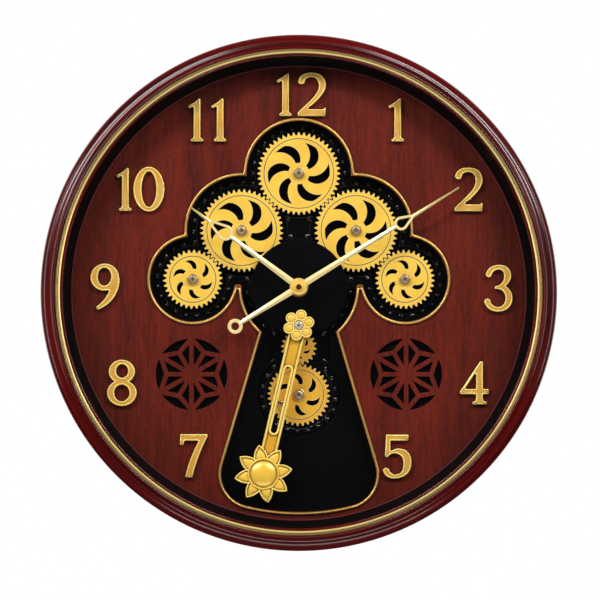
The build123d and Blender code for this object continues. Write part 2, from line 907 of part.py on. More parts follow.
# Dial plate with the opening and the two star grilles
dial_opening = opening(0)
grille_gaps = star_grille()
grille_places = [(-grille_x, grille_z), (grille_x, grille_z)]
with BuildPart() as dial_plate:
    with BuildSketch(front(dial_rear)):
        Circle(disc_stack_radius)
        add(dial_opening, mode=Mode.SUBTRACT)
        with Locations(*grille_places):
            add(grille_gaps, mode=Mode.SUBTRACT)
    extrude(amount=dial_thickness)
    with BuildSketch(front(dial_rear)):
        with Locations(*pan_screw_places):
            Circle(pan_screw_radius + slip)
    extrude(amount=pan_screw_bite, mode=Mode.SUBTRACT)
dial_plate.part.label = "dial_plate"
export_step(dial_plate.part, "parts/dial_plate.step")

# Gold trim on the edge of the opening
trim_outside = opening(trim_width)
with BuildPart() as opening_trim:
    with BuildSketch(front(dial_front)):
        add(trim_outside)
        add(dial_opening, mode=Mode.SUBTRACT)
    extrude(amount=trim_height)
    trim_face = opening_trim.faces().sort_by(Axis.Y)[0]
    chamfer(trim_face.edges().filter_by(lambda edge: edge.length > trim_width), trim_bevel)
opening_trim.part.label = "opening_trim"
export_step(opening_trim.part, "parts/opening_trim.step")

# Black backings behind the star grilles
for side, place in zip(("left", "right"), grille_places):
    with BuildPart() as backing:
        with BuildSketch(front(dial_rear - backing_thickness, place)):
            Circle(grille_radius + backing_margin)
        extrude(amount=backing_thickness)
    backing.part.label = f"{side}_grille_backing"
    export_step(backing.part, f"parts/{side}_grille_backing.step")

# Raised numerals, each with bevelled edges. There is no 6, because the pendulum hangs there.
one = digit_one()
numeral_figures = {
    "numeral_1": (60, (-0.4, -1.5), [(1.2, one)]),
    "numeral_2": (30, (0.2, 0.0), [(0.0, digit_two())]),
    "numeral_3": (0, (2.7, -0.7), [(0.0, digit_three())]),
    "numeral_4": (-30, (4.1, 2.0), [(0.0, digit_four())]),
    "numeral_5": (-60, (0.0, 0.8), [(0.0, digit_five())]),
    "numeral_7": (-120, (-5.4, 1.2), [(0.0, digit_seven())]),
    "numeral_8": (-150, (-5.4, 2.0), [(0.0, digit_eight())]),
    "numeral_9": (180, (1.6, 0.4), [(0.0, digit_nine())]),
    "numeral_10": (150, (8.4, 0.2), [(-11.4, one), (6.9, digit_zero())]),
    "numeral_11": (120, (4.7, -1.5), [(-7.8, one), (10.2, one)]),
    "numeral_12": (90, (1.5, -2.0), [(-11.9, one), (8.6, digit_two())]),
}
for name, (angle, nudge, figures) in numeral_figures.items():
    with BuildPart() as numeral:
        ring_place = polar(numeral_radius, angle, hub)
        with BuildSketch(front(dial_front, (ring_place[0] + nudge[0], ring_place[1] + nudge[1]))):
            for shift, figure in figures:
                with Locations((shift, 0)):
                    add(figure)
        extrude(amount=numeral_thickness)
        chamfer(numeral.faces().filter_by(Plane.XZ).group_by(Axis.Y)[0].edges(), numeral_bevel)
    numeral.part.label = name
    export_step(numeral.part, f"parts/{name}.step")

# Gear pan: a black moulding behind the opening, with the posts of the train
pan_outside = opening(pan_wall)
flange_outside = opening(flange_width)
recess = gear_recess()
upper_posts = [top_axis, left_axis, right_axis, small_left_axis, small_right_axis]
tiers = [(lower_rear, lower_front, [crank_axis]), (upper_rear, upper_front, upper_posts)]
pilot_depth = gear_screw_length - washer_thickness + end_play
ear_x = (movement_size + ear_reach) / 2
ear_places = [(-ear_x, drive_middle), (ear_x, drive_middle)]
with BuildPart() as gear_pan:
    with BuildSketch(front(floor_rear)):
        add(pan_outside)
    extrude(amount=dial_rear - floor_rear)
    with BuildSketch(front(dial_rear - flange_thickness)):
        add(flange_outside)
    extrude(amount=flange_thickness)
    with BuildSketch(front(skirt_panel_front)):
        add(dial_opening)
    extrude(amount=dial_rear - skirt_panel_front, mode=Mode.SUBTRACT)
    with BuildSketch(front(floor_front)):
        add(recess)
    extrude(amount=skirt_panel_front - floor_front, mode=Mode.SUBTRACT)
    with BuildSketch(front(floor_front, hub)):
        Circle(centre_hub_radius)
    extrude(amount=wheel_gap - end_play)
    with BuildSketch(front(floor_front, hub)):
        Circle(column_radius)
    extrude(amount=disc_rear - floor_front)
    with BuildSketch(front(floor_rear, hub)):
        Circle(nipple_radius + slip)
    extrude(amount=disc_rear - floor_rear, mode=Mode.SUBTRACT)
    for tier_rear, tier_front, places in tiers:
        with BuildSketch(front(floor_front)):
            with Locations(*places):
                Circle(shoulder_radius)
        extrude(amount=tier_rear - end_play - floor_front)
        with BuildSketch(front(floor_front)):
            with Locations(*places):
                Circle(post_radius)
        extrude(amount=tier_front + end_play - floor_front)
        with BuildSketch(front(tier_front + end_play)):
            with Locations(*places):
                Circle(gear_screw_radius + slip)
        extrude(amount=-pilot_depth, mode=Mode.SUBTRACT)
    with BuildSketch(front(floor_rear, motor_axis)):
        Circle(drive_shaft_radius + disc_room)
    extrude(amount=pan_floor, mode=Mode.SUBTRACT)
    with BuildSketch(front(dial_rear - flange_thickness)):
        with Locations(*pan_screw_places):
            Circle(pan_screw_radius + slip)
    extrude(amount=flange_thickness, mode=Mode.SUBTRACT)
    with BuildSketch(front(floor_rear)):
        with Locations(*ear_places):
            Circle(pan_screw_radius + slip)
    extrude(amount=skirt_panel_rise, mode=Mode.SUBTRACT)
gear_pan.part.label = "gear_pan"
export_step(gear_pan.part, "parts/gear_pan.step")

# Screws that hold the pan to the dial
with BuildPart() as pan_screws:
    with BuildSketch(front(dial_rear - flange_thickness)):
        with Locations(*pan_screw_places):
            Circle(pan_screw_head_radius)
    extrude(amount=-pan_screw_head_height)
    fillet(pan_screws.edges().group_by(Axis.Y)[-1], small_round)
    with BuildSketch(front(dial_rear - flange_thickness)):
        with Locations(*pan_screw_places):
            Circle(pan_screw_radius)
    extrude(amount=flange_thickness + pan_screw_bite - end_play)
pan_screws.part.label = "pan_screws"
export_step(pan_screws.part, "parts/pan_screws.step")

# Centre disc with the pivot pin of the pendulum
with BuildPart() as centre_disc:
    with BuildSketch(front(disc_rear, hub)):
        Circle(disc_radius)
        Circle(nipple_radius + slip, mode=Mode.SUBTRACT)
    extrude(amount=disc_thickness)
    rim_edge = centre_disc.edges().group_by(Axis.Y)[0].sort_by(SortBy.RADIUS)[-1]
    chamfer(rim_edge, disc_edge)
    with BuildSketch(front(disc_front, pivot_axis)):
        Circle(pivot_boss_radius)
    extrude(amount=arm_rear - end_play - disc_front)
    with BuildSketch(front(disc_front, pivot_axis)):
        Circle(pivot_radius)
    extrude(amount=pivot_front - disc_front)
    with BuildSketch(front(pivot_front, pivot_axis)):
        Circle(gear_screw_radius + slip)
    extrude(amount=-pilot_depth, mode=Mode.SUBTRACT)
centre_disc.part.label = "centre_disc"
export_step(centre_disc.part, "parts/centre_disc.step")

# Centre wheel: a drive ring behind and a gear in front on one hub that turns on the column
drive_ring = toothed_disc(drive_ring_teeth, gear_module, centre_phase)
centre_gear = toothed_disc(big_teeth, gear_module, centre_phase)
with BuildPart() as centre_wheel:
    with BuildSketch(front(lower_rear, hub)):
        add(drive_ring)
    extrude(amount=wheel_thickness)
    with BuildSketch(front(upper_rear, hub)):
        add(centre_gear)
    extrude(amount=wheel_thickness)
    with BuildSketch(front(lower_rear, hub)):
        Circle(centre_hub_radius)
    extrude(amount=disc_rear - end_play - lower_rear)
    with BuildSketch(front(lower_rear, hub)):
        Circle(column_radius + running)
    extrude(amount=disc_rear - lower_rear, mode=Mode.SUBTRACT)
centre_wheel.part.label = "centre_wheel"
export_step(centre_wheel.part, "parts/centre_wheel.step")

# Gears with swirl windows and a ring engraved inside the teeth
pin_place = polar(pin_reach, arm_angle, pivot_axis)
big_window = (big_window_sweep, big_window_lead)
small_window = (small_window_sweep, small_window_lead)
gears = {
    "top_gear": (big_teeth, top_axis, upper_rear, top_phase, *big_window),
    "left_gear": (big_teeth, left_axis, upper_rear, left_phase, *big_window),
    "right_gear": (big_teeth, right_axis, upper_rear, right_phase, *big_window),
    "left_small_gear": (small_teeth, small_left_axis, upper_rear, small_left_phase, *small_window),
    "right_small_gear": (small_teeth, small_right_axis, upper_rear, small_right_phase, *small_window),
    "crank_gear": (crank_teeth, crank_axis, lower_rear, crank_phase, *small_window),
}
for name, (teeth, axis, rear, phase, sweep, lead) in gears.items():
    engraved_radius = gear_module * (teeth / 2 + tip_share) - gear_rim
    outline = toothed_disc(teeth, gear_module, phase)
    window = swirl_window(gear_hub_radius, engraved_radius - window_rim, sweep)
    with BuildPart() as gear:
        with BuildSketch(front(rear, axis)):
            add(outline)
            with PolarLocations(0, window_count, start_angle=lead):
                add(window, mode=Mode.SUBTRACT)
        extrude(amount=wheel_thickness)
        with BuildSketch(front(rear + wheel_thickness, axis)):
            Circle(engraved_radius + groove_line / 2)
            Circle(engraved_radius - groove_line / 2, mode=Mode.SUBTRACT)
        extrude(amount=-groove_line_depth, mode=Mode.SUBTRACT)
        if name == "crank_gear":
            with BuildSketch(front(rear, pin_place)):
                Circle(crank_boss_radius)
            extrude(amount=wheel_thickness)
            with BuildSketch(front(rear, pin_place)):
                Circle(crank_pin_radius + running)
            extrude(amount=wheel_thickness, mode=Mode.SUBTRACT)
        with BuildSketch(front(rear, axis)):
            Circle(post_radius + running)
        extrude(amount=wheel_thickness, mode=Mode.SUBTRACT)
    gear.part.label = name
    export_step(gear.part, f"parts/{name}.step")

# Motor gear on the drive unit's shaft
motor_outline = toothed_disc(motor_teeth, gear_module, motor_phase)
motor_window = swirl_window(motor_window_start, motor_window_end, small_window_sweep)
with BuildPart() as motor_gear:
    with BuildSketch(front(lower_rear, motor_axis)):
        add(motor_outline)
        with PolarLocations(0, window_count, start_angle=small_window_lead):
            add(motor_window, mode=Mode.SUBTRACT)
        Circle(drive_shaft_radius + running, mode=Mode.SUBTRACT)
    extrude(amount=wheel_thickness)
motor_gear.part.label = "motor_gear"
export_step(motor_gear.part, "parts/motor_gear.step")

# Washers on the gear posts
with BuildPart() as gear_washers:
    for tier_rear, tier_front, places in tiers:
        with BuildSketch(front(tier_front + end_play)):
            with Locations(*places):
                Circle(washer_radius)
        extrude(amount=washer_thickness)
        fillet(gear_washers.edges().group_by(Axis.Y)[0], washer_edge)
        with BuildSketch(front(tier_front + end_play)):
            with Locations(*places):
                Circle(gear_screw_radius + slip)
        extrude(amount=washer_thickness, mode=Mode.SUBTRACT)
gear_washers.part.label = "gear_washers"
export_step(gear_washers.part, "parts/gear_washers.step")

# Cross-head screws in the gear posts
cross = cross_recess()
with BuildPart() as gear_screws:
    for tier_rear, tier_front, places in tiers:
        head_rear = tier_front + end_play + washer_thickness
        with BuildSketch(front(head_rear)):
            with Locations(*places):
                Circle(gear_screw_head_radius)
        extrude(amount=gear_screw_head_height)
        fillet(gear_screws.edges().group_by(Axis.Y)[0], screw_head_round)
        with BuildSketch(front(head_rear + gear_screw_head_height)):
            with Locations(*places):
                add(cross)
        extrude(amount=-cross_depth, mode=Mode.SUBTRACT)
        with BuildSketch(front(head_rear)):
            with Locations(*places):
                Circle(gear_screw_radius)
        extrude(amount=-gear_screw_length)
gear_screws.part.label = "gear_screws"
export_step(gear_screws.part, "parts/gear_screws.step")

# Crank pin: a shank in the crank gear, a collar and a domed head behind the slot of the pendulum arm
with BuildPart() as crank_pin:
    with BuildSketch(front(lower_rear, pin_place)):
        Circle(crank_pin_radius)
    extrude(amount=arm_rear - 2 * end_play - gear_screw_head_height / 2 - lower_rear)
    with BuildSketch(front(lower_front, pin_place)):
        Circle(crank_pin_head_radius)
    extrude(amount=wheel_gap)
    with BuildSketch(front(arm_rear - 2 * end_play - gear_screw_head_height, pin_place)):
        Circle(crank_pin_head_radius)
    extrude(amount=gear_screw_head_height)
    fillet(crank_pin.edges().group_by(Axis.Y)[0], screw_head_round)
    with BuildSketch(front(arm_rear - 2 * end_play, pin_place)):
        add(cross)
    extrude(amount=-cross_depth, mode=Mode.SUBTRACT)
crank_pin.part.label = "crank_pin"
export_step(crank_pin.part, "parts/crank_pin.step")

# Pendulum arm: a slotted strip with raised edges
slot_middle = (slot_start + slot_end) / 2
slot_run = slot_end - slot_start
with BuildPart() as pendulum_arm:
    with BuildSketch(front(arm_rear, pivot_axis, arm_angle)):
        with Locations((sun_drop / 2, 0)):
            SlotCenterToCenter(sun_drop, arm_width)
    extrude(amount=arm_thickness)
    with BuildSketch(front(arm_front, pivot_axis, arm_angle)):
        with Locations((sun_drop / 2, 0)):
            SlotCenterToCenter(sun_drop, arm_width)
            SlotCenterToCenter(sun_drop, arm_width - 2 * arm_rib, mode=Mode.SUBTRACT)
        with Locations((slot_middle, 0)):
            SlotOverall(slot_run + 2 * slot_lip, slot_width + 2 * slot_lip)
    extrude(amount=arm_rib_height)
    with BuildSketch(front(arm_rear, pivot_axis, arm_angle)):
        with Locations((slot_middle, 0)):
            SlotOverall(slot_run, slot_width)
        Circle(pivot_radius + running)
    extrude(amount=arm_thickness + arm_rib_height, mode=Mode.SUBTRACT)
pendulum_arm.part.label = "pendulum_arm"
export_step(pendulum_arm.part, "parts/pendulum_arm.step")

# Pendulum rosette: six petals with raised edges and domes round the pivot
petal_foot = arm_front + arm_rib_height
petal_floor = petal_foot + rosette_thickness - petal_rim
with BuildPart() as pendulum_rosette:
    with BuildSketch(front(petal_foot, pivot_axis, arm_angle + 180)):
        Circle(rosette_reach)
        with PolarLocations(rosette_reach, rosette_petals):
            Circle(petal_radius)
    extrude(amount=rosette_thickness)
    with BuildSketch(front(petal_floor, pivot_axis, arm_angle + 180)):
        with PolarLocations(rosette_reach, rosette_petals):
            Circle(petal_dome_radius + petal_rim)
        Circle(rosette_centre_radius, mode=Mode.SUBTRACT)
    extrude(amount=petal_rim, mode=Mode.SUBTRACT)
    with BuildSketch(front(petal_floor, pivot_axis, arm_angle + 180)):
        with PolarLocations(rosette_reach, rosette_petals):
            Circle(petal_dome_radius)
    extrude(amount=petal_rim)
    with BuildSketch(front(petal_foot, pivot_axis)):
        Circle(pivot_radius + running)
    extrude(amount=rosette_thickness, mode=Mode.SUBTRACT)
    with BuildSketch(front(rosette_front, pivot_axis)):
        Circle(gear_screw_head_radius + disc_room)
    extrude(amount=-cross_depth - end_play, mode=Mode.SUBTRACT)
pendulum_rosette.part.label = "pendulum_rosette"
export_step(pendulum_rosette.part, "parts/pendulum_rosette.step")

# Screw that keeps the pendulum on its pivot
with BuildPart() as pivot_screw:
    with BuildSketch(front(pivot_front, pivot_axis)):
        Circle(gear_screw_head_radius)
    extrude(amount=gear_screw_head_height)
    fillet(pivot_screw.edges().group_by(Axis.Y)[0], screw_head_round)
    with BuildSketch(front(pivot_head_front, pivot_axis)):
        add(cross)
    extrude(amount=-cross_depth, mode=Mode.SUBTRACT)
    with BuildSketch(front(pivot_front, pivot_axis)):
        Circle(gear_screw_radius)
    extrude(amount=end_play - pilot_depth)
pivot_screw.part.label = "pivot_screw"
export_step(pivot_screw.part, "parts/pivot_screw.step")

# Pendulum sun: a dome in a raised rim with eight pointed petals
sun_place = polar(sun_drop, arm_angle, pivot_axis)
sun_half_step = 180 / sun_petals
petal_base = 0.8 * sun_rim_radius


def sun_petal(inset):
    """Pointed petal of the sun along x, narrowed by an inset."""
    half_width = sun_petal_half_width - inset
    tip = sun_tip_radius - 2 * inset
    side_middle = ((petal_base + tip) / 2, 0.84 * half_width)
    with BuildSketch() as petal:
        with BuildLine():
            ThreePointArc((tip, 0), side_middle, (petal_base, half_width))
            Line((petal_base, half_width), (petal_base, -half_width))
            ThreePointArc((petal_base, -half_width), (side_middle[0], -side_middle[1]), (tip, 0))
        make_face()
    return petal.sketch


outer_petal = sun_petal(0)
inner_petal = sun_petal(petal_rim)
with BuildPart() as pendulum_sun:
    with BuildSketch(Plane(origin=(sun_place[0], -sun_rear, sun_place[1]), z_dir=(0, 0, 1))):
        with BuildLine():
            rim_inner = sun_dome_radius + petal_rim
            rim_crest = ((sun_rim_radius + rim_inner) / 2, -sun_thickness - sun_rim_height)
            dome_middle = (0.72 * sun_dome_radius, -sun_thickness - 0.5 * sun_dome_height)
            dome_top = (0, -sun_thickness - sun_dome_height)
            Polyline(dome_top, (0, 0), (sun_rim_radius, 0), (sun_rim_radius, -sun_thickness))
            ThreePointArc((sun_rim_radius, -sun_thickness), rim_crest, (rim_inner, -sun_thickness))
            Line((rim_inner, -sun_thickness), (sun_dome_radius, -sun_thickness))
            ThreePointArc((sun_dome_radius, -sun_thickness), dome_middle, dome_top)
        make_face()
    revolve(axis=Axis((sun_place[0], 0, sun_place[1]), (0, 1, 0)))
    with BuildSketch(front(sun_rear, sun_place, arm_angle + sun_half_step)):
        with PolarLocations(0, sun_petals):
            add(outer_petal)
        Circle(sun_dome_radius, mode=Mode.SUBTRACT)
    extrude(amount=sun_thickness)
    with BuildSketch(front(sun_rear + sun_thickness, sun_place, arm_angle + sun_half_step)):
        with PolarLocations(0, sun_petals):
            add(inner_petal)
        Circle(sun_rim_radius, mode=Mode.SUBTRACT)
    extrude(amount=-petal_rim, mode=Mode.SUBTRACT)
pendulum_sun.part.label = "pendulum_sun"
export_step(pendulum_sun.part, "parts/pendulum_sun.step")

# Hour hand: a ridged shaft, a pear-shaped loop and a point
root_section = hand_section(hand_root_width)
neck_section = hand_section(hand_neck_width)
tip_section = hand_section(hand_tip_width)
hour_loop = pear(hour_loop_start, hour_loop_end, hour_loop_width, 0)
hour_loop_hole = pear(hour_loop_start, hour_loop_end, hour_loop_width, loop_stroke)
with BuildPart() as hour_hand:
    with BuildSketch(front(hour_rear, hub, hour_angle)):
        add(hour_loop)
        add(hour_loop_hole, mode=Mode.SUBTRACT)
    extrude(amount=loop_height)
    chamfer(hour_hand.edges().group_by(Axis.Y)[0], loop_bevel)
    with BuildSketch(front(hour_rear, hub)):
        Circle(hour_hub_radius)
    extrude(amount=hand_ridge)
    with BuildSketch(across(hour_rear, hub, hour_angle, 0)):
        add(root_section)
    with BuildSketch(across(hour_rear, hub, hour_angle, hour_loop_start + loop_stroke / 2)):
        add(neck_section)
    loft()
    with BuildSketch(across(hour_rear, hub, hour_angle, hour_loop_end - loop_stroke)):
        add(neck_section)
    with BuildSketch(across(hour_rear, hub, hour_angle, hour_length)):
        add(tip_section)
    loft()
    with BuildSketch(front(hour_rear, hub)):
        Circle(hour_tube_radius + running)
    extrude(amount=hand_ridge, mode=Mode.SUBTRACT)
hour_hand.part.label = "hour_hand"
export_step(hour_hand.part, "parts/hour_hand.step")

# Minute hand, with a tail that ends in a ring
minute_loop = pear(minute_loop_start, minute_loop_end, minute_loop_width, 0)
minute_loop_hole = pear(minute_loop_start, minute_loop_end, minute_loop_width, loop_stroke)
tail_angle = minute_angle + 180
with BuildPart() as minute_hand:
    with BuildSketch(front(minute_rear, hub, minute_angle)):
        add(minute_loop)
        add(minute_loop_hole, mode=Mode.SUBTRACT)
    extrude(amount=loop_height)
    with BuildSketch(front(minute_rear, polar(tail_length, tail_angle, hub))):
        Circle(tail_ring_radius)
        Circle(tail_ring_hole, mode=Mode.SUBTRACT)
    extrude(amount=loop_height)
    chamfer(minute_hand.edges().group_by(Axis.Y)[0], loop_bevel)
    with BuildSketch(front(minute_rear, hub)):
        Circle(minute_hub_radius)
    extrude(amount=hand_ridge)
    with BuildSketch(across(minute_rear, hub, minute_angle, 0)):
        add(root_section)
    with BuildSketch(across(minute_rear, hub, minute_angle, minute_loop_start + loop_stroke / 2)):
        add(neck_section)
    loft()
    with BuildSketch(across(minute_rear, hub, minute_angle, minute_loop_end - loop_stroke)):
        add(neck_section)
    with BuildSketch(across(minute_rear, hub, minute_angle, minute_length)):
        add(tip_section)
    loft()
    with BuildSketch(across(minute_rear, hub, tail_angle, 0)):
        add(root_section)
    with BuildSketch(across(minute_rear, hub, tail_angle, tail_length - tail_ring_hole - loop_stroke / 2)):
        add(neck_section)
    loft()
    with BuildSketch(front(minute_rear, hub)):
        Circle(arbor_radius + running)
    extrude(amount=hand_ridge, mode=Mode.SUBTRACT)
minute_hand.part.label = "minute_hand"
export_step(minute_hand.part, "parts/minute_hand.step")

# Cap nut on the minute arbor
with BuildPart() as hand_cap_nut:
    with BuildSketch(front(minute_front, hub)):
        Circle(cap_radius)
    extrude(amount=cap_height)
    fillet(hand_cap_nut.edges().group_by(Axis.Y)[0], cap_round)
    with BuildSketch(front(minute_front, hub)):
        Circle(arbor_radius + running)
    extrude(amount=arbor_front - minute_front + end_play, mode=Mode.SUBTRACT)
hand_cap_nut.part.label = "hand_cap_nut"
export_step(hand_cap_nut.part, "parts/hand_cap_nut.step")

# Quartz movement: a front shell with the threaded nipple that passes through the column
with BuildPart() as movement_front:
    with BuildSketch(front(shell_split, hub)):
        RectangleRounded(movement_size, movement_size, unit_corner)
    extrude(amount=floor_rear - shell_split)
    with BuildSketch(front(shell_split, hub)):
        Rectangle(movement_size - 2 * unit_wall, movement_size - 2 * unit_wall)
    extrude(amount=floor_rear - unit_wall - shell_split, mode=Mode.SUBTRACT)
    with BuildSketch(front(floor_rear, hub)):
        Circle(nipple_radius)
    extrude(amount=nipple_front - floor_rear)
    with BuildSketch(front(shell_split, hub)):
        Circle(hour_tube_radius + running)
    extrude(amount=nipple_front - shell_split, mode=Mode.SUBTRACT)
    with BuildSketch(front(floor_rear - unit_wall, motion_axis)):
        Circle(motion_shaft_radius + running)
    extrude(amount=free_gap, mode=Mode.SUBTRACT)
movement_front.part.label = "movement_front"
export_step(movement_front.part, "parts/movement_front.step")

# Back shell of the movement, open over its battery
with BuildPart() as movement_back:
    with BuildSketch(front(unit_rear, hub)):
        RectangleRounded(movement_size, movement_size, unit_corner)
    extrude(amount=shell_split - unit_rear)
    with BuildSketch(front(unit_rear + unit_wall, hub)):
        Rectangle(movement_size - 2 * unit_wall, movement_size - 2 * unit_wall)
    extrude(amount=shell_split - unit_rear - unit_wall, mode=Mode.SUBTRACT)
    with BuildSketch(front(unit_rear + unit_wall, hub)):
        Circle(bearing_radius)
        Circle(arbor_radius + running, mode=Mode.SUBTRACT)
    extrude(amount=bearing_height)
    with BuildSketch(front(unit_rear, motion_axis)):
        Circle(motion_shaft_radius + running)
    extrude(amount=unit_wall, mode=Mode.SUBTRACT)
    with BuildSketch(front(unit_rear, (hub[0], movement_battery_z))):
        Rectangle(movement_size - 2 * unit_wall, 2 * (battery_radius + battery_room))
    extrude(amount=unit_wall, mode=Mode.SUBTRACT)
movement_back.part.label = "movement_back"
export_step(movement_back.part, "parts/movement_back.step")

# Washer and hex nut that clamp the movement, the pan and the centre disc together
with BuildPart() as movement_washer:
    with BuildSketch(front(disc_front, hub)):
        Circle(movement_washer_radius)
        Circle(nipple_radius + slip, mode=Mode.SUBTRACT)
    extrude(amount=movement_washer_thickness)
movement_washer.part.label = "movement_washer"
export_step(movement_washer.part, "parts/movement_washer.step")

with BuildPart() as movement_nut:
    with BuildSketch(front(disc_front + movement_washer_thickness, hub)):
        RegularPolygon(hex_width / 2, 6, major_radius=False)
        Circle(nipple_radius + slip, mode=Mode.SUBTRACT)
    extrude(amount=hex_thickness)
movement_nut.part.label = "movement_nut"
export_step(movement_nut.part, "parts/movement_nut.step")

# Motion work: the minute arbor drives the motion wheel, whose pinion drives the hour tube
minute_pinion = toothed_disc(minute_pinion_teeth, motion_module, 0)
motion_outline = toothed_disc(
    motion_wheel_teeth, motion_module, meshed(0, minute_pinion_teeth, motion_angle, motion_wheel_teeth)
)
motion_pinion = toothed_disc(motion_pinion_teeth, hour_module, 0)
hour_outline = toothed_disc(
    hour_wheel_teeth, hour_module, meshed(0, motion_pinion_teeth, motion_angle + 180, hour_wheel_teeth)
)
with BuildPart() as hour_tube:
    with BuildSketch(front(hour_wheel_rear, hub)):
        add(hour_outline)
    extrude(amount=motion_thickness)
    with BuildSketch(front(hour_wheel_rear, hub)):
        Circle(hour_tube_radius)
    extrude(amount=hour_front - hour_wheel_rear)
    with BuildSketch(front(hour_wheel_rear, hub)):
        Circle(arbor_radius + running)
    extrude(amount=hour_front - hour_wheel_rear, mode=Mode.SUBTRACT)
hour_tube.part.label = "hour_tube"
export_step(hour_tube.part, "parts/hour_tube.step")

with BuildPart() as minute_arbor:
    with BuildSketch(front(arbor_rear, hub)):
        Circle(arbor_radius)
    extrude(amount=arbor_front - arbor_rear)
    with BuildSketch(front(motion_wheel_rear, hub)):
        add(minute_pinion)
    extrude(amount=motion_thickness)
minute_arbor.part.label = "minute_arbor"
export_step(minute_arbor.part, "parts/minute_arbor.step")

with BuildPart() as motion_wheel:
    with BuildSketch(front(motion_wheel_rear, motion_axis)):
        add(motion_outline)
    extrude(amount=motion_thickness)
    with BuildSketch(front(motion_wheel_front, motion_axis)):
        add(motion_pinion)
    extrude(amount=hour_wheel_front - motion_wheel_front)
    with BuildSketch(front(knob_front - knob_thickness / 2, motion_axis)):
        Circle(motion_shaft_radius)
    extrude(amount=floor_rear - unit_wall + free_gap - end_play - knob_front + knob_thickness / 2)
motion_wheel.part.label = "motion_wheel"
export_step(motion_wheel.part, "parts/motion_wheel.step")

# Fluted knob that sets the hands
with BuildPart() as set_knob:
    with BuildSketch(front(knob_front, motion_axis)):
        Circle(knob_radius)
        with PolarLocations(knob_radius, knob_flutes):
            Circle(knob_flute_radius, mode=Mode.SUBTRACT)
    extrude(amount=-knob_thickness)
    with BuildSketch(front(knob_front, motion_axis)):
        Circle(motion_shaft_radius + running)
    extrude(amount=-knob_thickness / 2 - end_play, mode=Mode.SUBTRACT)
set_knob.part.label = "set_knob"
export_step(set_knob.part, "parts/set_knob.step")

# Coil of the movement on the floor of its back shell
coil_depth = unit_rear + unit_wall + coil_cheek / 2
with BuildPart() as movement_coil:
    with BuildSketch(across(coil_depth, (hub[0], hub[1] + coil_rise), 0, -coil_length / 2)):
        Circle(coil_radius)
    extrude(amount=coil_length)
    with BuildSketch(across(coil_depth, (hub[0], hub[1] + coil_rise), 0, -coil_length / 2)):
        Rectangle(coil_cheek, coil_cheek)
    extrude(amount=coil_cheek_thickness)
    with BuildSketch(across(coil_depth, (hub[0], hub[1] + coil_rise), 0, coil_length / 2)):
        Rectangle(coil_cheek, coil_cheek)
    extrude(amount=-coil_cheek_thickness)
movement_coil.part.label = "movement_coil"
export_step(movement_coil.part, "parts/movement_coil.step")

# Batteries of the movement and of the drive unit
for name, height in (("movement_battery", movement_battery_z), ("drive_battery", drive_battery_z)):
    battery_start = -(battery_length + battery_cap_length) / 2
    with BuildPart() as battery:
        with BuildSketch(across(battery_depth, (hub[0], height), 0, battery_start)):
            Circle(battery_radius)
        extrude(amount=battery_length)
        fillet(battery.edges(), small_round)
        with BuildSketch(across(battery_depth, (hub[0], height), 0, battery_start + battery_length)):
            Circle(battery_cap_radius)
        extrude(amount=battery_cap_length)
    battery.part.label = name
    export_step(battery.part, f"parts/{name}.step")

# Drive unit: a housing with two ears on the back of the pan
drive_place = (hub[0], drive_middle)
cover_front = unit_rear + unit_wall
with BuildPart() as drive_housing:
    with BuildSketch(front(cover_front, drive_place)):
        RectangleRounded(movement_size, drive_height, unit_corner)
    extrude(amount=floor_rear - cover_front)
    with BuildSketch(front(cover_front, drive_place)):
        Rectangle(movement_size - 2 * unit_wall, drive_height - 2 * unit_wall)
    extrude(amount=floor_rear - unit_wall - cover_front, mode=Mode.SUBTRACT)
    with BuildSketch(front(floor_rear, drive_place)):
        RectangleRounded(movement_size + 2 * ear_reach, ear_height, unit_corner)
        Rectangle(movement_size - unit_wall, ear_height, mode=Mode.SUBTRACT)
    extrude(amount=-ear_thickness)
    with BuildSketch(front(floor_rear, motor_axis)):
        Circle(drive_shaft_radius + disc_room)
    extrude(amount=-unit_wall, mode=Mode.SUBTRACT)
    with BuildSketch(front(floor_rear)):
        with Locations(*ear_places):
            Circle(pan_screw_radius + slip)
    extrude(amount=-ear_thickness, mode=Mode.SUBTRACT)
drive_housing.part.label = "drive_housing"
export_step(drive_housing.part, "parts/drive_housing.step")

with BuildPart() as drive_cover:
    with BuildSketch(front(unit_rear, drive_place)):
        RectangleRounded(movement_size, drive_height, unit_corner)
    extrude(amount=unit_wall)
    with BuildSketch(front(unit_rear, (hub[0], drive_battery_z))):
        Rectangle(movement_size - 2 * unit_wall, 2 * (battery_radius + battery_room))
    extrude(amount=unit_wall, mode=Mode.SUBTRACT)
drive_cover.part.label = "drive_cover"
export_step(drive_cover.part, "parts/drive_cover.step")

with BuildPart() as gear_motor:
    with BuildSketch(front(motor_rear, motor_axis)):
        Circle(motor_can_radius)
    extrude(amount=motor_can_depth)
    fillet(gear_motor.edges().group_by(Axis.Y)[-1], small_round)
    with BuildSketch(front(motor_rear + motor_can_depth, motor_axis)):
        Circle(drive_shaft_radius + running)
    extrude(amount=-motor_can_depth / 2 - end_play, mode=Mode.SUBTRACT)
gear_motor.part.label = "gear_motor"
export_step(gear_motor.part, "parts/gear_motor.step")

with BuildPart() as drive_shaft:
    with BuildSketch(front(motor_rear + motor_can_depth / 2, motor_axis)):
        Circle(drive_shaft_radius)
    extrude(amount=lower_front + end_play - motor_rear - motor_can_depth / 2)
drive_shaft.part.label = "drive_shaft"
export_step(drive_shaft.part, "parts/drive_shaft.step")

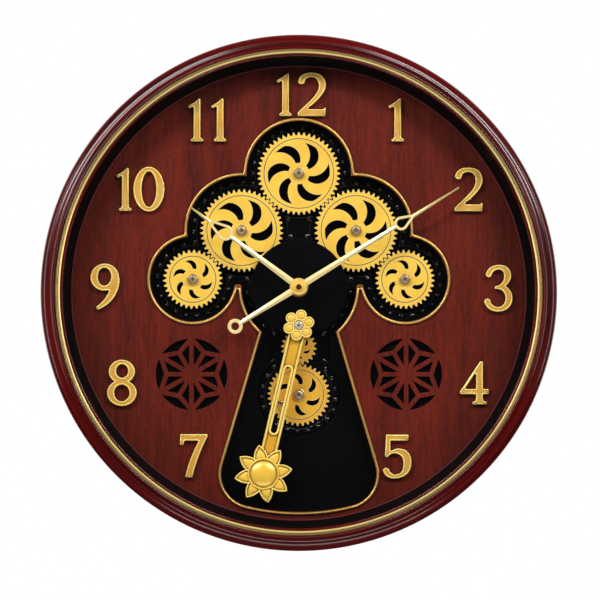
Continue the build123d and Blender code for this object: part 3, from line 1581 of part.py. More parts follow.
# Screws through the ears of the drive unit
with BuildPart() as drive_screws:
    with BuildSketch(front(floor_rear - ear_thickness)):
        with Locations(*ear_places):
            Circle(pan_screw_head_radius)
    extrude(amount=-pan_screw_head_height)
    fillet(drive_screws.edges().group_by(Axis.Y)[-1], small_round)
    with BuildSketch(front(floor_rear - ear_thickness)):
        with Locations(*ear_places):
            Circle(pan_screw_radius)
    extrude(amount=ear_thickness + skirt_panel_rise - end_play)
drive_screws.part.label = "drive_screws"
export_step(drive_screws.part, "parts/drive_screws.step")

# Back cover: a plate with windows for both units and a wall that presses the dial forward
movement_window = movement_size + 2 * window_margin
drive_window = drive_height + 2 * window_margin
with BuildPart() as back_cover:
    with BuildSketch(front(back_rear)):
        Circle(channel_outer - disc_room)
    extrude(amount=back_thickness)
    with BuildSketch(front(back_front)):
        Circle(disc_stack_radius)
        Circle(disc_stack_radius - stack_wall, mode=Mode.SUBTRACT)
    extrude(amount=dial_rear - back_front)
    with BuildSketch(front(back_front)):
        with Locations(*hanger_screw_places):
            Circle(hanger_boss_radius)
    extrude(amount=hanger_boss_height)
    with BuildSketch(front(back_rear)):
        Circle(back_rib_radius + back_rib_width / 2)
        Circle(back_rib_radius - back_rib_width / 2, mode=Mode.SUBTRACT)
    extrude(amount=-back_rib_height)
    with BuildSketch(front(back_rear)):
        with Locations(hub):
            RectangleRounded(movement_window, movement_window, unit_corner)
        with Locations(drive_place):
            RectangleRounded(movement_window, drive_window, unit_corner)
        with Locations((0, keyhole_z + keyhole_rise / 2)):
            SlotCenterToCenter(keyhole_rise, 2 * (keyhole_radius + keyhole_room), rotation=90)
        with PolarLocations(case_screw_radius, case_screw_count, start_angle=case_screw_start):
            Circle(cover_screw_radius + slip)
    extrude(amount=back_thickness, mode=Mode.SUBTRACT)
    with BuildSketch(front(back_rear)):
        with Locations(*hanger_screw_places):
            Circle(cover_screw_radius + slip)
    extrude(amount=back_thickness + hanger_boss_height, mode=Mode.SUBTRACT)
back_cover.part.label = "back_cover"
export_step(back_cover.part, "parts/back_cover.step")

# Screws of the back cover
with BuildPart() as case_screws:
    with BuildSketch(front(back_rear)):
        with PolarLocations(case_screw_radius, case_screw_count, start_angle=case_screw_start):
            Circle(cover_screw_head_radius)
    extrude(amount=-cover_screw_head_height)
    fillet(case_screws.edges().group_by(Axis.Y)[-1], small_round)
    with BuildSketch(front(back_rear)):
        with PolarLocations(case_screw_radius, case_screw_count, start_angle=case_screw_start):
            Circle(cover_screw_radius)
    extrude(amount=cover_screw_length)
case_screws.part.label = "case_screws"
export_step(case_screws.part, "parts/case_screws.step")

# Hanger plate with a keyhole for the wall screw, and its countersunk screws
with BuildPart() as hanger_plate:
    with BuildSketch(front(hanger_rear, (0, hanger_z))):
        RectangleRounded(hanger_width, hanger_height, hanger_corner)
    extrude(amount=hanger_thickness)
    with BuildSketch(front(hanger_rear, (0, keyhole_z))):
        Circle(keyhole_radius)
        with Locations((0, keyhole_rise / 2)):
            SlotCenterToCenter(keyhole_rise, keyhole_slot, rotation=90)
    extrude(amount=hanger_thickness, mode=Mode.SUBTRACT)
    for place in hanger_screw_places:
        with BuildSketch(front(hanger_rear, place)):
            Circle(cover_screw_head_radius + slip)
        with BuildSketch(front(back_rear, place)):
            Circle(cover_screw_radius + slip)
        loft(mode=Mode.SUBTRACT)
hanger_plate.part.label = "hanger_plate"
export_step(hanger_plate.part, "parts/hanger_plate.step")

with BuildPart() as hanger_screws:
    for place in hanger_screw_places:
        with BuildSketch(front(hanger_rear, place)):
            Circle(cover_screw_head_radius)
        with BuildSketch(front(back_rear, place)):
            Circle(cover_screw_radius)
        loft()
        with BuildSketch(front(back_rear, place)):
            Circle(cover_screw_radius)
        extrude(amount=back_thickness + hanger_boss_height - free_gap)
hanger_screws.part.label = "hanger_screws"
export_step(hanger_screws.part, "parts/hanger_screws.step")
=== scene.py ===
import json
from math import atan2, cos, degrees, hypot, pi, radians, sin

import bmesh
import bpy
from bpy.props import FloatProperty, FloatVectorProperty, PointerProperty
from mathutils import Matrix, Quaternion, Vector
from mathutils.geometry import intersect_point_line

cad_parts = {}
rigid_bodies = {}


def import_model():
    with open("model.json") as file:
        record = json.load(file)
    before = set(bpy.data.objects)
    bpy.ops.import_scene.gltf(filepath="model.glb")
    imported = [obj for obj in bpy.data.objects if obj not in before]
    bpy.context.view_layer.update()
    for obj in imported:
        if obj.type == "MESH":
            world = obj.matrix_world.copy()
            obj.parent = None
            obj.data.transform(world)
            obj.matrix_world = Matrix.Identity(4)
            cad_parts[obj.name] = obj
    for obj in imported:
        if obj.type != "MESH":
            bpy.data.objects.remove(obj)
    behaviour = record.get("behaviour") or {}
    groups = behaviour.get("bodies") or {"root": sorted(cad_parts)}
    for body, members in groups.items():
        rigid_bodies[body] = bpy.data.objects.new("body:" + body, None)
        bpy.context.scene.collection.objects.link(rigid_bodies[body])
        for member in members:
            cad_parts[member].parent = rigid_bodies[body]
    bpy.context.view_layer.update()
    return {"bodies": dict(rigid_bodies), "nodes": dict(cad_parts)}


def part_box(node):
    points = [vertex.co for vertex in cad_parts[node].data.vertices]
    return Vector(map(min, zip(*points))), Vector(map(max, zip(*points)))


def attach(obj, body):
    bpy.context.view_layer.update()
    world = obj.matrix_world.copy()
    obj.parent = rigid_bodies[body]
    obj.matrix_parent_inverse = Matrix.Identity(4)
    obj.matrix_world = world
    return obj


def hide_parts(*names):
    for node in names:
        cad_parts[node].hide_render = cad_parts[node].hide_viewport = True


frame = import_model()

bl_info = {
    "name": "Gear Wall Clock",
    "version": (1, 0, 0),
    "blender": (4, 5, 0),
    "location": "View3D > Sidebar > Gear Clock",
    "description": "Finishes, fine mouldings and studio stage of a round wall clock with turning gears",
    "category": "Object",
}

NUMERALS = ["numeral_" + figure for figure in "1 2 3 4 5 7 8 9 10 11 12".split()]
GEARS = ["centre_wheel", "top_gear", "left_gear", "right_gear", "left_small_gear", "right_small_gear"]
ROSETTE_PETALS = 6
SUN_PETALS = 8

MOTION_WHITE = (0.7, 0.69, 0.64)
BATTERY_GREY = (0.1, 0.12, 0.14)
COPPER = (0.62, 0.2, 0.08)
COPPER_DEEP = (0.4, 0.1, 0.04)
MOTOR_GREY = (0.5, 0.5, 0.49)
MOTOR_DEEP = (0.34, 0.34, 0.33)
HANGER_GREY = (0.55, 0.55, 0.53)
HANGER_DEEP = (0.36, 0.36, 0.35)


def length(name, description, millimetres):
    """Property for a length, given in millimetres and kept in metres."""
    metres = millimetres / 1000
    return FloatProperty(name=name, description=description, default=metres, unit="LENGTH", precision=5)


def tilt(name, description, turn):
    """Property for an angle, given in degrees and kept in radians."""
    return FloatProperty(name=name, description=description, default=radians(turn), unit="ROTATION")


def power(name, description, watts):
    """Property for the power of a lamp."""
    return FloatProperty(name=name, description=description, default=watts, unit="POWER")


def in_metres(name, description, *metres):
    """Property for a place, or for the width and height of a lamp."""
    count = len(metres)
    return FloatVectorProperty(name=name, description=description, default=metres, size=count, unit="LENGTH")


def colour(name, description, red, green, blue):
    """Property for a colour, given as it looks on a screen from 0 to 255."""
    linear = [pow(channel / 255, 2.2) for channel in (red, green, blue)]
    return FloatVectorProperty(
        name=name, description=description, default=linear, subtype="COLOR", min=0, max=1
    )


class GearClockSizes(bpy.types.PropertyGroup):
    """Sizes of the fine forms that the finished clock adds to its solids, and of the solids they follow."""

    edge: length("Soft edge", "Radius that moulded edges seem to have", 0.25)
    # The worn polish along edges also carries a painted highlight.
    worn: length("Worn edge", "Reach of the polish along the edges of metal pieces", 0.9)
    # Painted shade: reach of the dark brown painted into grooves and corners where shade falls.
    painted_shade: length("Dirt", "Reach of the dark dirt in grooves and corners", 2.0)
    boss_level: length("Boss level", "Distance from the wall to just before the bosses inside the case", 34.5)
    side_bead: length("Side bead", "Distance from the wall to just behind the bead on the case's side", 30.0)
    side_radius: length("Side radius", "Radius just inside that bead", 196.5)
    pan_floor: length("Pan floor", "Distance from the wall of the front of the gear pan's floor", 23.0)
    top_lobe: length("Top lobe", "Radius of the opening round the top gear", 40.7)
    side_lobe: length("Side lobes", "Radius of the opening round the left and right gears", 42.3)
    small_lobe: length("Small lobes", "Radius of the opening round the two small gears", 33.0)
    hub_lobe: length("Hub lobe", "Radius of the opening round the centre disc", 44.6)
    stud_radius: length("Stud radius", "Radius of the moulded studs of the gear pan", 1.9)
    stud_height: length("Stud height", "Height of those studs above the pan's floor", 1.1)
    stud_pitch: length("Stud pitch", "Distance between studs along their track", 8.4)
    stud_inset: length("Stud inset", "Distance of the studs' track inside the opening's edge", 4.4)
    track_half: length("Track half", "Step from the studs round the crank gear to the lines beside them", 2.3)
    track_line: length("Track line", "Radius of the raised line that runs inside the studs", 0.6)
    line_inset: length("Line inset", "Distance of that line inside the opening's edge", 6.6)
    neck: length("Neck track", "Distance of the neck's studs from the clock's middle line", 19.0)
    crank_track: length("Crank track", "Radius of the studs' track round the crank gear", 29.0)
    numeral_rim: length("Numeral rim", "Radius of the bright rim round each numeral's front", 0.5)
    trim_bead: length("Trim bead", "Radius of the bead along the opening's trim", 0.85)
    trim_sink: length("Trim sink", "Depth of that bead's middle below the trim's front", 0.35)
    bead: length("Bead", "Radius of the beads along the pendulum's arm and slot", 0.92)
    bead_sink: length("Bead sink", "Depth of those beads' middles below the arm's front", 0.3)
    arm_bead: length("Arm bead", "Distance of the arm's beads from its middle line", 5.3)
    slot_bead: length("Slot bead", "Distance of the slot's bead from the same line", 3.2)
    slot_from: length("Slot start", "Start of the slot's straight sides from the pivot", 35.45)
    slot_to: length("Slot end", "End of the slot's straight sides from the pivot", 83.35)
    fine_bead: length("Fine bead", "Radius of the rims of the rosette's and the sun's petals", 0.6)
    rosette_reach: length("Rosette reach", "Distance of the rosette's petals from its middle", 7.9)
    petal_ring: length("Petal ring", "Radius of the rim of each petal of the rosette", 3.75)
    centre_ring: length("Centre ring", "Radius of the rim round the pivot screw", 4.2)
    petal_dome: length("Petal dome", "Radius of the dome in each petal of the rosette", 2.9)
    belly: length("Belly", "Height of the petals' domes", 0.9)
    leaf_base: length("Leaf base", "Start of a sun petal's rim from the sun's middle", 9.84)
    leaf_half: length("Leaf half width", "Half of the rim's width there", 4.9)
    leaf_middle: length("Leaf middle", "Distance of the rim's widest bend from the sun's middle", 16.1)
    leaf_side: length("Leaf side", "Half of the rim's width at that bend", 4.1)
    leaf_tip: length("Leaf tip", "Distance of the rim's tip from the sun's middle", 21.9)
    sun_rim: length("Sun rim", "Outer radius of the ring round the sun's dome", 12.3)
    sun_petal: length("Sun petal", "Height of the petals' rims above the sun's back", 1.9)
    # Painted shadow: where the dial's rim starts and stops darkening, as if shaded by the case's rings.
    rim_shade_from: length("Stain start", "Distance from the dial's middle where it starts to darken", 135.0)
    rim_shade_to: length("Stain end", "Distance where the darker edge is deepest", 162.0)
    foot_bead: length("Foot bead", "Width of the bead along the foot of the inner ring", 0.8)
    reed: length("Reed", "Width of one reed of the gold ring", 1.65)
    hub_dome: length("Hub dome", "Radius of the dome in the middle of the cap nut", 2.2)
    hub_radius: length("Hub radius", "Radius of the minute hand's hub", 7.3)
    sun_floor: length("Sun floor", "Height of the sunk petals above the sun's back", 1.3)
    belly_pull: FloatProperty(name="Belly pull", description="Inward draw of a belly", default=0.35)
    belly_width: FloatProperty(name="Belly width", description="Width of a belly in its petal", default=0.72)


class GearClockColours(bpy.types.PropertyGroup):
    """Colours of the clock's finishes."""

    case_red: colour("Case red", "Gloss lacquer of the case", 94, 3, 2)
    case_deep: colour("Case deep red", "Darker streaks in the lacquer", 50, 1, 1)
    wood_red: colour("Dial red", "Lighter grain of the dial", 122, 42, 28)
    wood_dark: colour("Dial dark", "Darker grain of the dial", 56, 16, 10)
    # On edges and bevels this bright gold is laid as a painted highlight.
    plating: colour("Plating", "Bright gold of edges, trim and numerals", 255, 234, 168)
    plating_deep: colour("Deep plating", "Amber gold of the flat faces", 220, 154, 46)
    gear_gold: colour("Gear gold", "Gold paint of the gears", 255, 208, 82)
    gear_deep: colour("Deep gear gold", "Darker gold in the gears' paint", 236, 178, 58)
    arm_deep: colour("Pendulum gold", "Amber gold of the pendulum's flat faces", 206, 144, 44)
    # Painted highlight: a paler copy of the pendulum's gold for raised beads and rims.
    rim_highlight_gold: colour("Rim gold", "Bright gold of the pendulum's beads and the numerals' rims", 255, 226, 122)
    # Painted highlight and shade: one gold, painted lighter on the trim's bead and darker on its foot.
    trim_highlight_gold: colour("Trim gold", "Gold of the bead round the opening", 246, 196, 112)
    trim_shade_gold: colour("Deep trim gold", "Darker gold of the trim under it", 150, 100, 42)
    ring_gold: colour("Ring gold", "Inner reed of the gold ring", 255, 226, 142)
    # Painted shade: the outer reed is the same gold as the inner one, painted darker.
    ring_shade_gold: colour("Deep ring gold", "Outer reed of the gold ring", 214, 184, 124)
    dome_brown: colour("Dome brown", "Dark dome in the middle of the cap nut", 112, 80, 40)
    hand_gold: colour("Hand gold", "Pale gold of the hands", 255, 228, 160)
    hub_gold: colour("Hub gold", "Deeper gold of the minute hand's hub", 255, 210, 104)
    washer: colour("Washer", "Pale brass of the gears' washers", 244, 214, 138)
    brass: colour("Brass", "Arbors and nuts", 206, 152, 70)
    steel: colour("Steel", "Screws and pins", 232, 224, 202)
    # Painted highlight: the bead belongs to the black ring; this red stands in for the light line along it.
    bead_highlight_red: colour("Bead red", "Bead along the foot of the inner ring", 96, 40, 40)
    # Painted shade: this dark brown is painted into grooves and under neighbours where shade falls.
    shade: colour("Gold shade", "Dark brown that lies in the grooves of gold pieces", 50, 26, 5)
    black: colour("Black", "Moulded black of the pan and the rings", 15, 16, 19)


class GearClockStage(bpy.types.PropertyGroup):
    """Where the camera, the lamps and the plain surroundings stand, and how much light there is."""

    distance: length("Distance", "Camera to case", 2000.0)
    elevation: tilt("Elevation", "Camera height angle", -1.7)
    frame_width: length("Frame width", "Width that the picture shows at the case", 465.6)
    aim: in_metres("Aim", "Spot in the middle of the picture", 0.0009, -0.033, -0.0058)
    lit: in_metres("Lit spot", "Spot that all lamps point at", 0.0, -0.03, 0.0)
    key: power("Upper lamps", "Power of each upper lamp", 39.0)
    key_place: in_metres("Upper place", "Right upper lamp, mirrored on the left", 1.25, -1.45, 1.25)
    key_size: in_metres("Upper size", "Width and height of each upper lamp", 1.8, 0.3)
    roll: tilt("Roll", "Tilt of the upper lamps along the case", 40.0)
    fill: power("Low lamp", "Power of the low lamp", 6.0)
    fill_place: in_metres("Low place", "Place of the low lamp", 0.0, -0.8, -1.25)
    fill_size: in_metres("Low size", "Width and height of the low lamp", 1.6, 0.2)
    strip: power("Side strips", "Power of each side strip", 5.0)
    strip_place: in_metres("Strip place", "Right side strip, mirrored on the left", 1.7, -0.3, 0.2)
    strip_size: in_metres("Strip size", "Width and height of each side strip", 0.15, 1.6)
    room: FloatProperty(name="Room light", description="Strength of the plain surroundings", default=0.1)
    floor_drop: length("Floor drop", "Depth of the floor below the clock's middle", 1400.0)
    floor_front: length("Floor front", "Reach of the floor before the wall", 500.0)
    floor_half: length("Floor half width", "Half of the floor's and the backdrop's width", 5000.0)
    backdrop: length("Backdrop", "Distance of the backdrop behind the wall", 4500.0)
    backdrop_top: length("Backdrop top", "Height of the backdrop above the clock's middle", 4000.0)


class Shade:
    """A socket in a node tree. Python operators on it add Math nodes."""

    def __init__(self, tree, socket=None):
        self.tree = tree
        self.socket = socket

    def node(self, kind, settings, sockets, output=0):
        """Add a node: its settings first, then the values or links of its sockets."""
        made = self.tree.nodes.new(kind)
        for name, value in settings.items():
            setattr(made, name, value)
        for name, value in sockets.items():
            if isinstance(value, Shade):
                self.tree.links.new(value.socket, made.inputs[name])
            else:
                made.inputs[name].default_value = value
        return Shade(self.tree, made.outputs[output])

    def maths(self, operation, first, second):
        """Math node on two values."""
        return self.node("ShaderNodeMath", {"operation": operation}, {0: first, 1: second})

    def __add__(self, other):
        return self.maths("ADD", self, other)

    __radd__ = __add__

    def __mul__(self, other):
        return self.maths("MULTIPLY", self, other)

    __rmul__ = __mul__

    def __sub__(self, other):
        return self.maths("SUBTRACT", self, other)

    def __rsub__(self, other):
        return self.maths("SUBTRACT", other, self)

    def place(self, scale=(1, 1, 1)):
        """The piece's own coordinates in metres, stretched by a scale."""
        object_space = self.node("ShaderNodeTexCoord", {}, {}, "Object")
        return self.node("ShaderNodeMapping", {}, {"Vector": object_space, "Scale": scale})

    def noise(self, place, scale, detail, roughness=0.5, distortion=0.0):
        """Noise value at a place, with a scale in patches per metre."""
        sockets = {"Vector": place, "Scale": scale, "Detail": detail}
        sockets.update({"Roughness": roughness, "Distortion": distortion})
        return self.node("ShaderNodeTexNoise", {}, sockets)

    def between(self, low, high):
        """This value as a smooth step from 0 at low to 1 at high."""
        sockets = {"Value": self, "From Min": low, "From Max": high}
        return self.node("ShaderNodeMapRange", {"interpolation_type": "SMOOTHSTEP"}, sockets)

    def mix(self, first, second):
        """Two colours, or expressions for colours, mixed by this value."""
        sockets = {0: self, 6: first, 7: second}
        for number in (6, 7):
            if not isinstance(sockets[number], Shade):
                sockets[number] = (*sockets[number], 1.0)
        return self.node("ShaderNodeMix", {"data_type": "RGBA"}, sockets, 2)

    def painted_crevice_shade(self, distance, alone=True, shade_free_level=0.92):
        """Mask for painted shade: 0 deep in a groove of the piece, or under its neighbours, and 1 on open
        faces.
        """
        settings = {"samples": 8, "only_local": alone}
        open_share = self.node("ShaderNodeAmbientOcclusion", settings, {"Distance": distance}, "AO")
        return open_share.between(shade_free_level - 0.52, shade_free_level)

    def worn_and_highlit_edge(self, width):
        """Mask for worn polish and a painted highlight: 1 along the edges of the piece and 0 on its open
        faces.
        """
        soft = self.node("ShaderNodeBevel", {"samples": 8}, {"Radius": width})
        normal = self.node("ShaderNodeNewGeometry", {}, {}, "Normal")
        settings = {"operation": "DOT_PRODUCT"}
        facing = self.node("ShaderNodeVectorMath", settings, {0: soft, 1: normal}, "Value")
        return (1 - facing).between(0.02, 0.16)

    def flat(self):
        """1 on faces that look straight ahead and 0 on bevels and sides."""
        normal = self.node("ShaderNodeNewGeometry", {}, {}, "Normal")
        across = self.node("ShaderNodeSeparateXYZ", {}, {0: normal}, "Y")
        return (0 - across).between(0.9, 0.99)

    def reach(self, centre=(0.0, 0.0)):
        """Distance from an axis square to the dial, given by its x and z."""
        sockets = {0: self.place((1, 0, 1)), 1: (centre[0], 0.0, centre[1])}
        return self.node("ShaderNodeVectorMath", {"operation": "DISTANCE"}, sockets, "Value")

    def bump(self, distance, strength, edge):
        """Surface normal with this value as height, over softened edges."""
        soft = self.node("ShaderNodeBevel", {"samples": 4}, {"Radius": edge})
        sockets = {"Height": self, "Distance": distance, "Strength": strength, "Normal": soft}
        return self.node("ShaderNodeBump", {}, sockets)


def looks():
    """The scene's colours and sizes."""
    scene = bpy.context.scene
    return scene.gear_clock_colours, scene.gear_clock_sizes


def shader_of(name, **constants):
    """New material with constants for its shader's sockets, and the start of its expressions."""
    material = bpy.data.materials.new(name)
    material.use_nodes = True
    shader = material.node_tree.nodes["Principled BSDF"]
    for socket, value in constants.items():
        shader.inputs[socket.replace("_", " ")].default_value = value
    return material, Shade(material.node_tree, shader.outputs[0])


def feed(material, **links):
    """Link expressions to the sockets of a material's shader, and give the material back."""
    tree = material.node_tree
    for socket, shade in links.items():
        tree.links.new(shade.socket, tree.nodes["Principled BSDF"].inputs[socket.replace("_", " ")])
    return material


def show_both(share, first, second):
    """Let a material's surface be two shaders, the second one by a share."""
    mixed = share.node("ShaderNodeMixShader", {}, {0: share, 1: first, 2: second})
    mixed.tree.links.new(mixed.socket, mixed.tree.nodes["Material Output"].inputs["Surface"])


def lacquer():
    """Deep red gloss with dark streaks that run round the ring, and faint clouds in the polish."""
    colours = looks()[0]
    constants = {"Coat_Roughness": 0.18, "Coat_IOR": 1.5, "Specular_IOR_Level": 0.05}
    material, start = shader_of("case_lacquer", **constants)
    place = start.place()
    along = start.node("ShaderNodeVectorMath", {"operation": "SCALE"}, {0: place, "Scale": 9.0})
    around = start.node("ShaderNodeCombineXYZ", {}, {"X": start.reach() * 420})
    ringed = start.node("ShaderNodeVectorMath", {"operation": "ADD"}, {0: along, 1: around})
    streaks = start.noise(ringed, 1.0, 4, 0.6).between(0.34, 0.62)
    dust = start.noise(place, 620, 3)
    cloud = start.noise(place, 60, 2)
    base = streaks.mix(colours.case_deep, colours.case_red)
    return feed(
        material,
        Base_Color=base,
        Roughness=0.2 + 0.12 * dust + 0.08 * cloud,
        Coat_Weight=0.92 - 0.1 * cloud,
    )


def plating(name, bright, deep, roughness, metallic, edge=None, alone=True, shade_free_level=0.92, worn=1.0):
    """Metal finish: clouds of tarnish, edges with worn polish and a painted highlight, painted shade in its
    grooves and fine polishing marks.
    """
    colours, sizes = looks()
    rubbed_and_highlit = 1.15 * Vector(bright) if edge is None else edge
    material, start = shader_of(name)
    clouds = start.noise(start.place(), 60, 3).between(0.35, 0.75)
    marks = start.noise(start.place((1, 1, 6)), 900, 2)
    metal = (0.55 * clouds).mix(bright, deep)
    # Worn polish and a painted highlight along the edges, then painted shade in the grooves.
    polished_and_highlit = (0.85 * start.worn_and_highlit_edge(worn * sizes.worn)).mix(metal, rubbed_and_highlit)
    base = start.painted_crevice_shade(sizes.painted_shade, alone, shade_free_level).mix(colours.shade, polished_and_highlit)
    return feed(
        material,
        Base_Color=base,
        Metallic=metallic - 0.08 * clouds,
        Roughness=roughness + 0.14 * marks,
        Normal=marks.bump(0.00005, 0.25, sizes.edge),
    )


def raised_gold():
    """Gold of numerals and trim: a painted highlight on the bevels and edges, amber on the flat faces, and
    painted shade in the grooves.
    """
    colours, sizes = looks()
    material, start = shader_of("raised_gold")
    flat = start.flat()
    place = start.place()
    marks = start.noise(start.place((1, 1, 0.2)), 700, 3)
    clouds = start.noise(place, 90, 3).between(0.3, 0.8)
    metal = (0.75 + 0.25 * clouds).mix(colours.plating, colours.plating_deep)
    # Painted highlight: bevels and edges take the bright gold.
    rim = (1 - flat) + 0.8 * start.worn_and_highlit_edge(2 * sizes.worn)
    polished_and_highlit = rim.between(0.0, 1.0).mix(metal, colours.plating)
    base = start.painted_crevice_shade(sizes.painted_shade).mix(colours.shade, polished_and_highlit)
    return feed(
        material,
        Base_Color=base,
        Metallic=0.75 - 0.5 * flat,
        Roughness=0.2 + 0.14 * flat + 0.1 * marks,
        Normal=marks.bump(0.00005, 0.3, sizes.edge),
    )


def reeded_gold():
    """Gold of the ring's two reeds: the inner one bright, the outer one painted darker as shade and given a
    higher polish, with painted shade in the grooves.
    """
    colours, sizes = looks()
    material, start = shader_of("reeded_gold")
    marks = start.noise(start.place(), 800, 2)
    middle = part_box("gold_ring")[1][0] - sizes.reed
    outer = start.reach(axis_of("gold_ring")).between(middle - sizes.edge, middle + sizes.edge)
    # Painted shade: the outer reed takes the darker gold.
    metal = outer.mix(colours.ring_gold, colours.ring_shade_gold)
    base = start.painted_crevice_shade(sizes.painted_shade).mix(colours.shade, metal)
    return feed(
        material,
        Base_Color=base,
        Metallic=0.4 + 0.4 * outer,
        Roughness=0.2 + 0.08 * marks,
    )


def hub_metal():
    """Gold of the cap nut: a bright flat with a painted highlight on its rim, round a dark dome with a high
    polish, and painted shade in its grooves.
    """
    colours, sizes = looks()
    material, start = shader_of("hub_metal")
    marks = start.noise(start.place(), 900, 2)
    dome = start.reach(axis_of("centre_disc")).between(1.15 * sizes.hub_dome, 0.95 * sizes.hub_dome)
    edge = start.worn_and_highlit_edge(sizes.worn)
    # Painted highlight on the cap's edges.
    flat = (0.8 * edge).mix(colours.hub_gold, colours.plating)
    worn = dome.mix(flat, colours.dome_brown)
    base = start.painted_crevice_shade(sizes.painted_shade).mix(colours.shade, worn)
    return feed(
        material,
        Base_Color=base,
        Metallic=0.2 + 0.6 * dome,
        Roughness=0.26 - 0.14 * dome + 0.08 * marks,
        Normal=marks.bump(0.00003, 0.2, sizes.edge),
    )


def hand_metal():
    """Pale gold of the hands, deeper on the hub that they turn about, with fine brushed lines, a painted
    highlight on the hub's edges and painted shade in the grooves.
    """
    colours, sizes = looks()
    material, start = shader_of("hand_metal")
    marks = start.noise(start.place((1, 1, 5)), 800, 2)
    flat = start.flat()
    hub = start.reach(axis_of("centre_disc")).between(sizes.hub_radius, 0.96 * sizes.hub_radius)
    pale = marks.mix(0.9 * Vector(colours.hand_gold), colours.hand_gold)
    # Painted highlight on the hub's edges.
    boss = (0.8 * start.worn_and_highlit_edge(sizes.worn)).mix(colours.hub_gold, colours.plating)
    base = start.painted_crevice_shade(sizes.painted_shade).mix(colours.shade, hub.mix(pale, boss))
    return feed(
        material,
        Base_Color=base,
        Metallic=0.5 - 0.35 * (flat + hub).between(0.0, 1.0),
        Roughness=0.2 + 0.1 * marks,
        Normal=marks.bump(0.00005, 0.2, sizes.edge),
    )


def dial_grain():
    """Wood-look board with upright grain: broad figure, fibre streaks and short dark pores, a painted shadow
    darkening its rim and painted shade where other pieces stand close.
    """
    colours, sizes = looks()
    material, start = shader_of("dial_grain", Specular_IOR_Level=0.2)
    bands = start.noise(start.place((1, 1, 0.12)), 45, 3, 0.5, 0.8).between(0.3, 0.72)
    fibre = start.noise(start.place((1, 1, 0.09)), 420, 5, 0.65, 0.3).between(0.3, 0.72)
    speckle = start.noise(start.place((1, 1, 0.3)), 1100, 3, 0.6).between(0.3, 0.75)
    pores = start.noise(start.place((1, 1, 0.1)), 800, 2, 0.5, 0.4).between(0.62, 0.76)
    grain = 0.3 * bands + 0.4 * fibre + 0.3 * speckle
    streaked = grain.mix(colours.wood_dark, colours.wood_red)
    worn = (0.4 * pores).mix(streaked, 0.45 * Vector(colours.wood_dark))
    # Painted shadow: the dial is darkened towards its rim, where the case's rings shade it.
    rim = start.reach(axis_of("centre_disc")).between(sizes.rim_shade_from, sizes.rim_shade_to)
    rim_shaded = (0.2 * rim).mix(worn, 0.6 * Vector(colours.wood_dark))
    # Painted shade beside the pieces that stand on the dial.
    base = start.painted_crevice_shade(sizes.painted_shade, False).mix(0.15 * Vector(colours.wood_dark), rim_shaded)
    return feed(
        material,
        Base_Color=base,
        Roughness=0.52 - 0.12 * fibre + 0.15 * pores,
        Normal=(speckle - pores).bump(0.0001, 0.2, sizes.edge),
    )


def moulded(name, tint, roughness, grain, depth, gloss=0.4):
    """Moulded plastic with a fine spark-eroded grain and faint flow clouds."""
    sizes = looks()[1]
    material, start = shader_of(name, Specular_IOR_Level=gloss)
    place = start.place()
    clouds = start.noise(place, 30, 3)
    texture = start.noise(place, grain, 3, 0.6)
    base = clouds.mix(0.75 * Vector(tint), 1.25 * Vector(tint))
    return feed(
        material,
        Base_Color=base,
        Roughness=roughness + 0.18 * texture,
        Normal=texture.bump(depth, 0.35, sizes.edge),
    )


def beaded_ring():
    """Black of the inner ring, with a dark red band painted on the glossy bead along its foot as a highlight.
    """
    colours, sizes = looks()
    material, start = shader_of("beaded_ring", Specular_IOR_Level=0.08, Coat_Roughness=0.1)
    grain = start.noise(start.place(), 900, 3, 0.6)
    foot = inner_radius("inner_ring")
    wide = sizes.foot_bead
    bead = start.reach(axis_of("inner_ring")).between(foot + 1.6 * wide, foot + 1.2 * wide)
    black = grain.mix(0.4 * Vector(colours.black), 0.6 * Vector(colours.black))
    return feed(
        material,
        # Painted highlight: the bead's band is painted red.
        Base_Color=bead.mix(black, colours.bead_highlight_red),
        Roughness=0.34 + 0.18 * grain,
        Coat_Weight=bead,
        Normal=grain.bump(0.00005, 0.35, sizes.edge),
    )


def clear_lens():
    """Clear sheet: see-through, with a gloss that grows towards a slanting view."""
    material, start = shader_of("clear_lens", Base_Color=(1, 1, 1, 1), Metallic=1.0)
    dust = start.noise(start.place(), 300, 2).between(0.55, 0.8)
    inside = start.node("ShaderNodeNewGeometry", {}, {}, "Backfacing")
    gloss = (1 - inside) * start.node("ShaderNodeFresnel", {}, {"IOR": 1.2})
    clear = start.node("ShaderNodeBsdfTransparent", {}, {"Color": (1, 1, 1, 1)})
    show_both(gloss + 0.004 * dust, clear, start)
    return feed(material, Roughness=0.03 + 0.05 * dust)


OWN_FINISHES = {
    "case_gloss": lacquer,
    "gold_plating": raised_gold,
    "reeded_gold": reeded_gold,
    "hub_metal": hub_metal,
    "hand_gold": hand_metal,
    "dial_wood": dial_grain,
    "beaded_ring": beaded_ring,
    "lens": clear_lens,
}


def plastics():
    """Tint, roughness, patches of grain per metre, depth of grain and gloss of each moulded finish."""
    black = Vector(looks()[0].black)
    return {
        "pan_black": (0.6 * black, 0.34, 1100, 0.00008, 0.07),
        "stud_black": (0.9 * black, 0.06, 1100, 0.00001, 0.8),
        "shell_black": (black, 0.4, 700, 0.00012),
        "motion_white": (MOTION_WHITE, 0.4, 900, 0.00005),
        "battery_skin": (BATTERY_GREY, 0.3, 600, 0.00003),
        "cover_plastic": (1.6 * black, 0.45, 520, 0.0002),
    }


